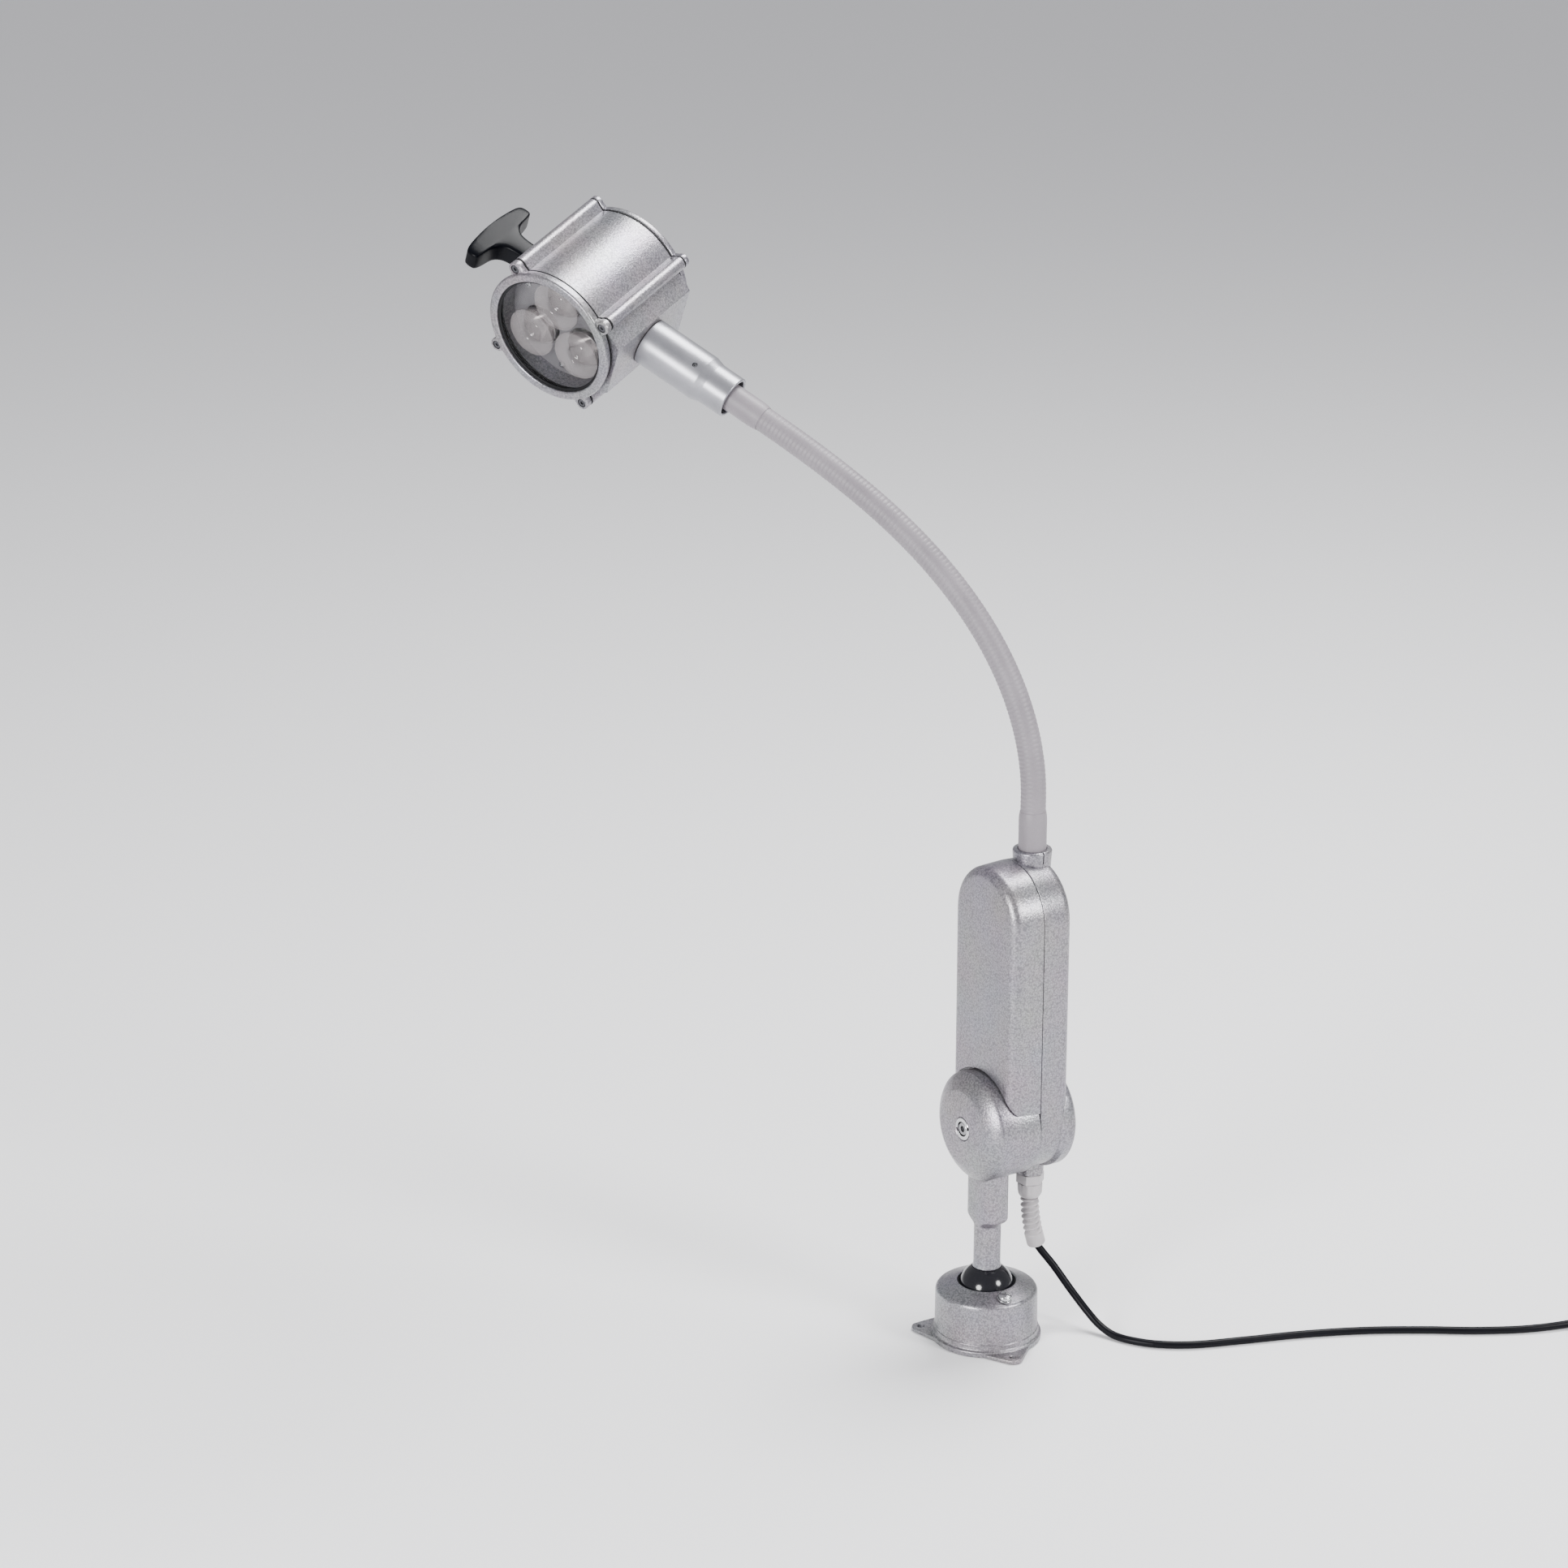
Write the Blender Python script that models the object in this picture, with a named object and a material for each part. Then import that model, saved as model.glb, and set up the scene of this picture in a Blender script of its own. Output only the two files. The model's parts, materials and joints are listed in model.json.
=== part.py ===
"""Examination lamp: screw-down ball base, hinged arm housing, gooseneck and a three-lens LED head.

Lengths are in millimetres until a mesh is made, where MM turns them into metres.
World frame: origin at the centre of the base's underside, +Z up, +Y along the elbow's hinge axis.
Head frame: X runs from the neck to the handle, Z points out of the glass.
"""
import math

import bmesh
import bpy
from mathutils import Matrix, Vector

MM = 0.001
GAP = 0.3                                   # clearance between pieces that touch on the real lamp
TURN = 2.0 * math.pi

# Base and ball joint
FLANGE_R = 41.4
FLANGE_T = 4.4
CUP_R = 38.6
CUP_RIM = 41.2                              # the top is a shallow cone, from the rim up to the opening
CUP_TOP = 45.4
CUP_BORE_R = 33.0
CUP_CEILING = 37.2
OPENING_CEILING = 43.0
OPENING_R = 21.6
PLATE_R = 36.0
PLATE_T = 3.4
EAR_COUNT = 3
EAR_FIRST_ANGLE = -130.0
EAR_REACH = 49.0
EAR_TIP_R = 7.0
EAR_T = 3.2
EAR_HOLE_R = 2.65
SEAT_LIP_Z = 44.5                           # the lip reaches above the ball's middle and holds it down
BALL_R = 21.0
BALL_Z = 38.5
BALL_TOP = 56.6
CLAMP_SCREW_ANGLE = -9.0
CLAMP_SCREW_REACH = 31.0
CLAMP_SCREW_SEAT = 42.7
CONE_ANGLE = math.atan2(CUP_TOP - CUP_RIM, 35.6 - OPENING_R - 1.4)

# Stem and elbow
STEM_R = 10.1
STEM_TAPER_Z = 90.5
COLUMN_Z = 97.0
COLUMN_HALF_X = 16.8
COLUMN_HALF_Y = 10.8
COLUMN_CORNER = 8.8
HINGE_Z = 172.8
DISC_R = 41.5
DISC_FACE_R = 28.5
DISC_BACK = -24.2
DISC_SHOULDER = -14.4
SEAM_Y = 18.4
BOLT_R = 5.0

# Arm housing
ARM_HALF = 39.8
ARM_ARCH_Z = 334.2
ARM_WALL = 3.0
ARM_BEVEL = 8.0
ARM_BACK = -7.9
ARM_FRONT = 44.7
BULGE_SHOULDER = 47.5
BULGE_FACE = 55.0
BULGE_FACE_R = 30.0
NECK_Y = 34.0
COLLAR_R = 14.5
COLLAR_TOP = 382.6
COLLAR_BORE_R = 10.9

# Cable gland and cord
GLAND_Y = 38.0
GLAND_BOSS_R = 10.0
GLAND_BOSS_Z = 124.0
GLAND_TIP = (0.0, 45.0, 64.0)
CORD_R = 2.9
COIL_MEAN_R = 33.4
COIL_TURNS_WIDE = 3
COIL_LAYERS = 2
COIL_LIFT = 1.0

# Gooseneck, in the vertical plane that also holds the head's neck axis
NECK_AZIMUTH = math.radians(-148.05)
NECK_BEND = math.radians(62.6)
NECK_STRAIGHT = 38.5
NECK_LENGTH = 420.3
NECK_R = 9.3
NECK_JOINTS = 5
SLEEVE_R = 10.4
SLEEVE_LENGTH = 28.0
SOCKET_END_R = 16.0
SOCKET_R = 18.0
HEAD_REACH = 131.0
SPIGOT_R = 7.0

# Head
HEAD_ROLL = math.radians(-112.2)
HEAD_FRONT = 53.8
HEAD_BACK = -51.0
BODY_R = 51.0
BODY_BORE_R = 46.5
BODY_FRONT = 45.0
BODY_BACK = -44.0
RIB_RADIUS = 56.0
RIB_R = 5.3
PAD_X = -54.0
PAD_HALF = 22.0
BEZEL_R = 52.6
BEZEL_INNER_R = 45.6
LENS_R = 19.2
LENS_REACH = 23.3
LENS_FIRST_ANGLE = math.radians(-80.4)
PLATE_FACE = 32.0


# ---------------------------------------------------------------- materials
def material(name, colour, roughness, metallic=0.0):
    made = bpy.data.materials.new(name)
    made.use_nodes = True
    shader = made.node_tree.nodes["Principled BSDF"]
    shader.inputs["Base Color"].default_value = (*colour, 1.0)
    shader.inputs["Roughness"].default_value = roughness
    shader.inputs["Metallic"].default_value = metallic
    return made


def all_materials():
    return {
        "hammertone": material("hammertone", (0.62, 0.62, 0.65), 0.45, 0.6),
        "satin_aluminium": material("satin_aluminium", (0.60, 0.61, 0.63), 0.35, 0.8),
        "steel": material("steel", (0.55, 0.55, 0.56), 0.3, 1.0),
        "zinc": material("zinc", (0.66, 0.67, 0.68), 0.3, 1.0),
        "brass": material("brass", (0.65, 0.5, 0.22), 0.3, 1.0),
        "gloss_black": material("gloss_black", (0.01, 0.01, 0.014), 0.08),
        "black_plastic": material("black_plastic", (0.012, 0.014, 0.02), 0.4),
        "black_rubber": material("black_rubber", (0.02, 0.02, 0.022), 0.7),
        "grey_sheath": material("grey_sheath", (0.42, 0.40, 0.42), 0.55),
        "gland_grey": material("gland_grey", (0.55, 0.53, 0.54), 0.5),
        "clear_glass": material("clear_glass", (0.9, 0.92, 0.94), 0.03),
        "lens_acrylic": material("lens_acrylic", (0.85, 0.84, 0.84), 0.08),
        "white_board": material("white_board", (0.8, 0.8, 0.78), 0.5),
        "cord_black": material("cord_black", (0.015, 0.016, 0.02), 0.5),
    }


# ---------------------------------------------------------------- mesh helpers
def finish_piece(name, mesh_edit, slot, parent, place=Matrix.Identity(4)):
    """Turn a bmesh in millimetres into a named object under its body's empty."""
    bmesh.ops.recalc_face_normals(mesh_edit, faces=mesh_edit.faces)
    bmesh.ops.scale(mesh_edit, vec=(MM, MM, MM), verts=mesh_edit.verts)
    mesh = bpy.data.meshes.new(name)
    mesh_edit.to_mesh(mesh)
    mesh_edit.free()
    mesh.materials.append(slot)
    mesh.shade_smooth()
    mesh.set_sharp_from_angle(angle=math.radians(35.0))
    piece = bpy.data.objects.new(name, mesh)
    bpy.context.scene.collection.objects.link(piece)
    piece.parent = parent
    piece.matrix_basis = in_metres(place)
    return piece


def in_metres(place):
    moved = place.copy()
    moved.translation = place.translation * MM
    return moved


def body_empty(name, parent, place=Matrix.Identity(4)):
    empty = bpy.data.objects.new(name, None)
    bpy.context.scene.collection.objects.link(empty)
    empty.parent = parent
    empty.matrix_basis = in_metres(place)
    return empty


def at(x=0.0, y=0.0, z=0.0):
    return Matrix.Translation((x, y, z))


def along_y(y=0.0, z=0.0):
    """A frame whose Z axis is the world's +Y."""
    return at(0.0, y, z) @ Matrix.Rotation(-math.pi / 2.0, 4, "X")


def along_x(x=0.0):
    """A frame whose Z axis is +X of the frame it sits in."""
    return at(x) @ Matrix.Rotation(math.pi / 2.0, 4, "Y")


def arc(centre, radius, start, end, steps):
    """Points on an arc, angles in degrees."""
    points = []
    for i in range(steps + 1):
        angle = math.radians(start + (end - start) * i / steps)
        points.append((centre[0] + radius * math.cos(angle), centre[1] + radius * math.sin(angle)))
    return points


def add_turned(mesh_edit, outline, sides, place=Matrix.Identity(4)):
    """Spin an (r, z) outline about Z. An outline that starts and ends on the axis stays open there."""
    corners = [mesh_edit.verts.new((r, 0.0, z)) for r, z in outline]
    pairs = list(zip(corners, corners[1:]))
    if outline[0][0] > 0.0 or outline[-1][0] > 0.0:
        pairs.append((corners[-1], corners[0]))
    edges = [mesh_edit.edges.new(pair) for pair in pairs]
    bmesh.ops.spin(mesh_edit, geom=corners + edges, cent=(0, 0, 0), axis=(0, 0, 1),
                   angle=TURN, steps=sides, use_merge=True)
    fresh = [v for v in mesh_edit.verts if not v.tag]
    bmesh.ops.remove_doubles(mesh_edit, verts=fresh, dist=0.0005)
    fresh = [v for v in mesh_edit.verts if not v.tag]
    bmesh.ops.transform(mesh_edit, matrix=place, verts=fresh)
    for vertex in fresh:
        vertex.tag = True


def turned(name, outline, slot, parent, place=Matrix.Identity(4), sides=32):
    mesh_edit = bmesh.new()
    add_turned(mesh_edit, outline, sides)
    return finish_piece(name, mesh_edit, slot, parent, place)


def tube_outline(inner, outer, low, high):
    return [(inner, low), (outer, low), (outer, high), (inner, high)]


def rod_outline(radius, low, high, edge=0.0):
    if edge <= 0.0:
        return [(0.0, low), (radius, low), (radius, high), (0.0, high)]
    return [(0.0, low), (radius - edge, low), (radius, low + edge), (radius, high - edge),
            (radius - edge, high), (0.0, high)]


def add_prism(mesh_edit, outline, low, high, place=Matrix.Identity(4)):
    """Extrude an (x, y) outline from z = low to z = high."""
    floor = [mesh_edit.verts.new((x, y, low)) for x, y in outline]
    face = mesh_edit.faces.new(floor)
    raised = bmesh.ops.extrude_face_region(mesh_edit, geom=[face])["geom"]
    top = [v for v in raised if isinstance(v, bmesh.types.BMVert)]
    bmesh.ops.translate(mesh_edit, vec=(0, 0, high - low), verts=top)
    fresh = floor + top
    bmesh.ops.transform(mesh_edit, matrix=place, verts=fresh)
    for vertex in fresh:
        vertex.tag = True


def prism(name, outline, low, high, slot, parent, place=Matrix.Identity(4)):
    mesh_edit = bmesh.new()
    add_prism(mesh_edit, outline, low, high)
    return finish_piece(name, mesh_edit, slot, parent, place)


def add_loft(mesh_edit, rings):
    """Skin rings of 3-D points. A ring of one point closes its end in a fan, any other end in a face."""
    rows = [[mesh_edit.verts.new(point) for point in ring] for ring in rings]
    for lower, upper in zip(rows, rows[1:]):
        count = max(len(lower), len(upper))
        for i in range(count):
            j = (i + 1) % count
            corners = [lower[i % len(lower)], lower[j % len(lower)], upper[j % len(upper)],
                       upper[i % len(upper)]]
            mesh_edit.faces.new(list(dict.fromkeys(corners)))
    for ring in (rows[0], rows[-1]):
        if len(ring) > 1:
            mesh_edit.faces.new(ring)


def loft(name, rings, slot, parent, place=Matrix.Identity(4)):
    mesh_edit = bmesh.new()
    add_loft(mesh_edit, rings)
    return finish_piece(name, mesh_edit, slot, parent, place)


def box_outline(half_x, half_y, corner, steps=3):
    points = []
    for quarter, (sx, sy) in enumerate(((1, 1), (-1, 1), (-1, -1), (1, -1))):
        centre = (sx * (half_x - corner), sy * (half_y - corner))
        points += arc(centre, corner, 90.0 * quarter, 90.0 * quarter + 90.0, steps)
    return points


def polygon(radius, sides, turn=0.0):
    return [(radius * math.cos(turn + TURN * i / sides), radius * math.sin(turn + TURN * i / sides))
            for i in range(sides)]


def combine(piece, tool, operation):
    """Add a Boolean against a hidden tool object."""
    tool.hide_render = True
    tool.display_type = "WIRE"
    step = piece.modifiers.new(operation.lower() + "_" + tool.name, "BOOLEAN")
    step.operation = operation
    step.object = tool
    step.solver = "EXACT"


def cut(piece, *tools):
    for tool in tools:
        combine(piece, tool, "DIFFERENCE")


def join(piece, *tools):
    for tool in tools:
        combine(piece, tool, "UNION")


# ---------------------------------------------------------------- base
def cup_outline():
    return [(PLATE_R + GAP, 0.0), (FLANGE_R, 0.0), (FLANGE_R, FLANGE_T - 0.6), (39.5, 5.0), (39.5, 8.6),
            (CUP_R, 9.4), (CUP_R - 0.3, 37.8), (CUP_R - 2.8, CUP_RIM), (OPENING_R + 1.4, CUP_TOP),
            (OPENING_R, CUP_TOP - 0.9), (OPENING_R, OPENING_CEILING), (CUP_BORE_R, CUP_CEILING),
            (CUP_BORE_R, PLATE_T + GAP), (PLATE_R + GAP, PLATE_T + GAP)]


def ear_outline(angle):
    """A lug whose straight sides run from its round tip back into the flange."""
    spread = 37.0
    root = FLANGE_R - 2.5
    points = [(root * math.cos(math.radians(-spread)), root * math.sin(math.radians(-spread)))]
    points += arc((EAR_REACH, 0.0), EAR_TIP_R, -52.0, 52.0, 5)
    points += [(root * math.cos(math.radians(spread)), root * math.sin(math.radians(spread)))]
    turn = math.radians(angle)
    return [(x * math.cos(turn) - y * math.sin(turn), x * math.sin(turn) + y * math.cos(turn))
            for x, y in points]


def make_base(slots, root):
    cup = turned("base_cup", cup_outline(), slots["hammertone"], root, sides=32)
    for i in range(EAR_COUNT):
        angle = EAR_FIRST_ANGLE + 360.0 * i / EAR_COUNT
        ear = prism("tool_ear_%d" % i, ear_outline(angle), 0.0, EAR_T, slots["hammertone"], root)
        spot = Matrix.Rotation(math.radians(angle), 4, "Z") @ at(EAR_REACH)
        hole = turned("tool_ear_hole_%d" % i, rod_outline(EAR_HOLE_R, -2.0, EAR_T + 2.0),
                      slots["hammertone"], root, spot, sides=10)
        bore = turned("tool_ear_bore_%d" % i, rod_outline(PLATE_R + GAP, -2.0, EAR_T + 0.2),
                      slots["hammertone"], root, sides=32)
        cut(ear, bore)
        join(cup, ear)
        cut(cup, hole)
    screw_spot = (Matrix.Rotation(math.radians(CLAMP_SCREW_ANGLE), 4, "Z")
                  @ at(CLAMP_SCREW_REACH, 0.0, CLAMP_SCREW_SEAT) @ Matrix.Rotation(CONE_ANGLE, 4, "Y"))
    cut(cup, turned("tool_clamp_hole", rod_outline(2.3, -12.0, 8.0), slots["zinc"], root, screw_spot, 10))
    turned("clamp_washer", tube_outline(2.4, 5.6, GAP, 1.2), slots["zinc"], root, screw_spot, 16)
    head_low = 1.5
    screw = turned("clamp_screw", [(0.0, -3.4), (1.9, -3.4), (1.9, head_low), (4.9, head_low),
                                   (5.0, head_low + 1.4), (4.0, head_low + 2.5), (0.0, head_low + 2.8)],
                   slots["zinc"], root, screw_spot, 16)
    slot_tool = prism("tool_clamp_slot", [(-8, -0.7), (8, -0.7), (8, 0.7), (-8, 0.7)], head_low + 1.4,
                      head_low + 6.0, slots["zinc"], root,
                      screw_spot @ Matrix.Rotation(math.radians(62.0), 4, "Z"))
    cut(screw, slot_tool)
    turned("base_plate", rod_outline(PLATE_R, 0.0, PLATE_T), slots["steel"], root, sides=32)
    spring_low = PLATE_T + GAP
    turned("pressure_spring", [(10.0, spring_low + 6.2), (28.0, spring_low), (28.0, spring_low + 1.6),
                               (10.0, spring_low + 7.8)], slots["steel"], root, sides=28)


def make_ball_seat(slots, swivel):
    """Upper seat ring and lower pressure plate: they turn in the cup and hold the ball between them."""
    seat_r = BALL_R + 0.4
    lip_r = OPENING_R - GAP
    ring = [(CUP_BORE_R - GAP, 27.0), (CUP_BORE_R - GAP, CUP_CEILING - 0.4), (lip_r, OPENING_CEILING - 0.4),
            (lip_r, SEAT_LIP_Z)]
    for z in (SEAT_LIP_Z, 41.5, 36.0, 31.0, 27.0):
        ring.append((math.sqrt(seat_r ** 2 - (z - BALL_Z) ** 2), z))
    turned("seat_ring", ring, slots["black_plastic"], swivel, at(0, 0, -BALL_Z), sides=24)
    low = PLATE_T + 8.6
    dish = [(0.0, low), (30.0, low), (30.0, 24.0)]
    for r in (16.0, 12.0, 8.0, 4.0, 0.0):
        dish.append((r, BALL_Z - math.sqrt(seat_r ** 2 - r ** 2)))
    turned("pressure_plate", dish, slots["steel"], swivel, at(0, 0, -BALL_Z), sides=24)


def make_ball(slots, ball_body):
    outline = []
    low_angle = -90.0
    high_angle = math.degrees(math.asin((BALL_TOP - BALL_Z) / BALL_R))
    for i in range(11):
        angle = math.radians(low_angle + (high_angle - low_angle) * i / 10)
        outline.append((BALL_R * math.cos(angle) if i else 0.0, BALL_R * math.sin(angle)))
    bore = 4.3
    outline += [(bore, BALL_TOP - BALL_Z), (bore, 2.0), (0.0, 2.0)]
    turned("ball", outline, slots["gloss_black"], ball_body, sides=24)
    turned("ball_stud", rod_outline(4.0, 2.4, 42.0, 0.6), slots["steel"], ball_body, sides=16)


# ---------------------------------------------------------------- stem and elbow
def disc_edge(shoulder, face_y, face_r):
    """The disc's bevel from its rim in to the flat face, slightly crowned."""
    out = 1.0 if face_y > shoulder else -1.0
    points = []
    for share, crown in ((0.0, 0.0), (0.14, 0.8), (0.6, 1.2), (1.0, 0.0)):
        points.append((DISC_R + (face_r - DISC_R) * share + crown * 0.6,
                       shoulder + (face_y - shoulder) * share + out * crown * 0.8))
    return points


def make_stem(slots, stem_body):
    """Round stem, flat oval column and hinge disc, cast in one. The body's frame is at the ball's centre."""
    drop = at(0, 0, -BALL_Z)
    low = BALL_TOP + GAP
    round_part = turned("stem", [(4.3, low), (STEM_R, low), (STEM_R, STEM_TAPER_Z + 4.0),
                                 (4.3, STEM_TAPER_Z + 4.0)],
                        slots["hammertone"], stem_body, drop, sides=24)
    column = []
    for z, half_x, half_y, corner in ((STEM_TAPER_Z, STEM_R + 0.05, STEM_R + 0.05, STEM_R),
                                      (COLUMN_Z, COLUMN_HALF_X, COLUMN_HALF_Y, COLUMN_CORNER),
                                      (138.0, COLUMN_HALF_X, COLUMN_HALF_Y, COLUMN_CORNER)):
        column.append([(x, y, z) for x, y in box_outline(half_x, half_y, corner, 4)])
    column_tool = loft("tool_column", column, slots["hammertone"], stem_body, drop)
    face = [(5.4, SEAM_Y - GAP), (11.0, SEAM_Y - GAP), (11.0, -11.0), (36.0, -11.0), (36.0, SEAM_Y - GAP),
            (DISC_R, SEAM_Y - GAP)]
    face += disc_edge(DISC_SHOULDER, DISC_BACK, DISC_FACE_R)
    face += [(8.8, DISC_BACK), (8.8, DISC_BACK + 4.5), (5.4, DISC_BACK + 4.5)]
    disc = turned("tool_disc", face, slots["hammertone"], stem_body, along_y(0.0, HINGE_Z - BALL_Z),
                  sides=32)
    join(round_part, column_tool, disc)
    cut(round_part, turned("tool_stem_bore", rod_outline(4.3, STEM_TAPER_Z - 12.0, STEM_TAPER_Z + 4.1),
                           slots["hammertone"], stem_body, drop, sides=24))
    hinge = along_y(0.0, HINGE_Z - BALL_Z)
    ring = turned("ring_nut", tube_outline(5.6, 8.5, DISC_BACK - 0.2, DISC_BACK + 4.2), slots["zinc"],
                  stem_body,
                  hinge, 24)
    notch = prism("tool_notch", [(-12, -1.3), (12, -1.3), (12, 1.3), (-12, 1.3)], DISC_BACK - 3.0,
                  DISC_BACK + 1.6,
                  slots["zinc"], stem_body, hinge @ Matrix.Rotation(math.radians(-20.0), 4, "Z"))
    cut(ring, notch)
    bolt = turned("hinge_bolt", rod_outline(BOLT_R, DISC_BACK + 0.3, 50.5, 0.5), slots["steel"], stem_body,
                  hinge, 20)
    hexagon = prism("tool_bolt_socket", polygon(2.6, 6), DISC_BACK - 2.0, DISC_BACK + 3.2, slots["steel"],
                    stem_body, hinge)
    cut(bolt, hexagon)


# ---------------------------------------------------------------- arm housing
ARCH_STEPS = 10


def arm_section(half, y, low_round, inset=0.0):
    """One outline of the housing at depth y: a half-round top, and a half-round or open bottom."""
    width = half - inset
    points = [(width * math.cos(math.pi * i / ARCH_STEPS), y,
               ARM_ARCH_Z + width * math.sin(math.pi * i / ARCH_STEPS))
              for i in range(ARCH_STEPS + 1)]
    for i in range(ARCH_STEPS + 1):
        angle = math.pi + math.pi * i / ARCH_STEPS
        rise = width * math.sin(angle) if low_round else 0.0
        if low_round or i in (0, ARCH_STEPS):
            points.append((width * math.cos(angle), y, HINGE_Z + rise))
    return points


def arm_rings(seam, outer, low_round, inset=0.0, reach=0.0):
    """Sections from the seam out to a broad face, with the rounded edge between."""
    out = 1.0 if outer > seam else -1.0
    bevel_start = outer - out * ARM_BEVEL
    edge_half = ARM_HALF - 0.8
    rings = [arm_section(ARM_HALF, seam - out * reach, low_round, inset)]
    rings.append(arm_section(edge_half, bevel_start, low_round, inset))
    for i in range(1, 4):
        angle = math.radians(30.0 * i)
        half = edge_half - ARM_BEVEL * (1.0 - math.cos(angle))
        depth = bevel_start + out * (ARM_BEVEL - inset) * math.sin(angle)
        rings.append(arm_section(half, depth, low_round, inset))
    return rings


def make_arm(slots, arm):
    drop = at(0, 0, -HINGE_Z)
    hinge = along_y()
    paint = slots["hammertone"]
    left = loft("shell_left", arm_rings(SEAM_Y - GAP / 2, ARM_BACK, False), paint, arm, drop)
    cavity = loft("tool_left_cavity", arm_rings(SEAM_Y, ARM_BACK, False, ARM_WALL, 3.0), paint, arm, drop)
    cut(cavity, turned("tool_left_web", rod_outline(DISC_R + 0.5 + ARM_WALL, -40.0, 40.0), paint, arm,
                       hinge, 32))
    cut(left, turned("tool_left_scoop", rod_outline(DISC_R + 0.5, -40.0, 40.0), paint, arm, hinge, 32),
        cavity)

    right = loft("shell_right", arm_rings(SEAM_Y + GAP / 2, ARM_FRONT, True), paint, arm, drop)
    bulge = [(0.0, 30.0), (ARM_HALF - 2.0, 30.0), (ARM_HALF - 1.2, 37.0), (DISC_R, 40.0)]
    bulge += disc_edge(BULGE_SHOULDER, BULGE_FACE, BULGE_FACE_R)
    bulge.append((0.0, BULGE_FACE))
    collar = turned("tool_collar", [(0.0, 362.0), (COLLAR_R - 1.5, 362.0), (COLLAR_R, 372.0),
                                    (COLLAR_R, COLLAR_TOP - 1.2),
                                    (COLLAR_R - 1.2, COLLAR_TOP), (0.0, COLLAR_TOP)], paint, arm,
                    at(0, NECK_Y, -HINGE_Z), 24)
    boss = turned("tool_gland_boss", rod_outline(GLAND_BOSS_R, GLAND_BOSS_Z, 140.0), paint, arm,
                  at(0, GLAND_Y, -HINGE_Z), 24)
    join(right, turned("tool_bulge", bulge, paint, arm, hinge, 32), collar, boss)
    inside = loft("tool_right_cavity", arm_rings(SEAM_Y, ARM_FRONT, True, ARM_WALL, 3.0), paint, arm, drop)
    cut(inside, turned("tool_hub", rod_outline(12.0, -5.0, 60.0), paint, arm, hinge, 24),
        turned("tool_collar_root", rod_outline(COLLAR_R, 360.0, 390.0), paint, arm,
               at(0, NECK_Y, -HINGE_Z), 24))
    bore = turned("tool_collar_bore", rod_outline(COLLAR_BORE_R, 350.0, 400.0), paint, arm,
                  at(0, NECK_Y, -HINGE_Z), 24)
    gland_bore = turned("tool_gland_bore", rod_outline(6.0, 110.0, 150.0), paint, arm,
                        at(0, GLAND_Y, -HINGE_Z), 16)
    hinge_bore = turned("tool_hinge_bore", [(0.0, 0.0), (BOLT_R + 0.3, 0.0), (BOLT_R + 0.3, 38.0),
                                            (10.0, 38.0),
                                            (10.0, 51.2), (0.0, 51.2)], paint, arm, hinge, 24)
    cut(right, inside, bore, gland_bore, hinge_bore)

    head_low = ARM_FRONT + GAP
    for i, z in enumerate((340.0, 232.0)):
        spot = drop @ at(0, 0, z) @ along_y()
        cut(right, turned("tool_shell_hole_%d" % i, rod_outline(2.2, 36.0, 60.0), paint, arm, spot, 12))
        turned("shell_screw_%d" % (i + 1), [(0.0, 40.0), (1.9, 40.0), (1.9, head_low), (3.8, head_low),
                                            (3.6, head_low + 1.6), (2.6, head_low + 2.3),
                                            (0.0, head_low + 2.3)],
               slots["zinc"], arm, spot, 14)
    turned("disc_spring", [(BOLT_R + 0.4, 39.6), (9.6, 38.4), (9.6, 41.4), (BOLT_R + 0.4, 42.6)],
           slots["steel"],
           arm, hinge, 20)
    nut = prism("hinge_nut", polygon(9.2, 6), 43.6, 49.6, slots["zinc"], arm, hinge)
    cut(nut, turned("tool_nut_bore", rod_outline(BOLT_R + 0.4, 40.0, 52.0), slots["zinc"], arm, hinge, 20))
    prism("led_driver", box_outline(26.0, 18.0, 3.0), 246.0, 332.0, slots["black_plastic"], arm,
          drop @ at(0, 15.0))
    terminal = prism("terminal_block", box_outline(20.0, 8.0, 1.0, 1), 224.0, 238.0, slots["gland_grey"],
                     arm,
                     drop @ at(0, 30.0))
    for i in range(3):
        cut(terminal, turned("tool_terminal_%d" % i, rod_outline(2.6, 230.0, 250.0), slots["gland_grey"],
                             arm,
                             drop @ at(-12.0 + 12.0 * i, 30.0), 10))


# ---------------------------------------------------------------- cable gland
def sweep_rings(points, radii, sides):
    """Rings square to a line of points, kept level with the world's X axis."""
    rings = []
    for i, (point, radius) in enumerate(zip(points, radii)):
        ahead = Vector(points[min(i + 1, len(points) - 1)]) - Vector(points[max(i - 1, 0)])
        ahead.normalize()
        across = Vector((1.0, 0.0, 0.0))
        across = (across - ahead * across.dot(ahead)).normalized()
        side = ahead.cross(across)
        ring = []
        for k in range(sides):
            angle = TURN * k / sides
            ring.append(Vector(point) + radius * (math.cos(angle) * across + math.sin(angle) * side))
        rings.append(ring)
    return rings


def guard_point(share):
    """The guard's centre line: straight down from the nut, easing out to the tip's lean."""
    top = 103.6
    y = GLAND_Y + (GLAND_TIP[1] - GLAND_Y) * share ** 1.8
    return (0.0, y, top + (GLAND_TIP[2] - top) * share)


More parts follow.
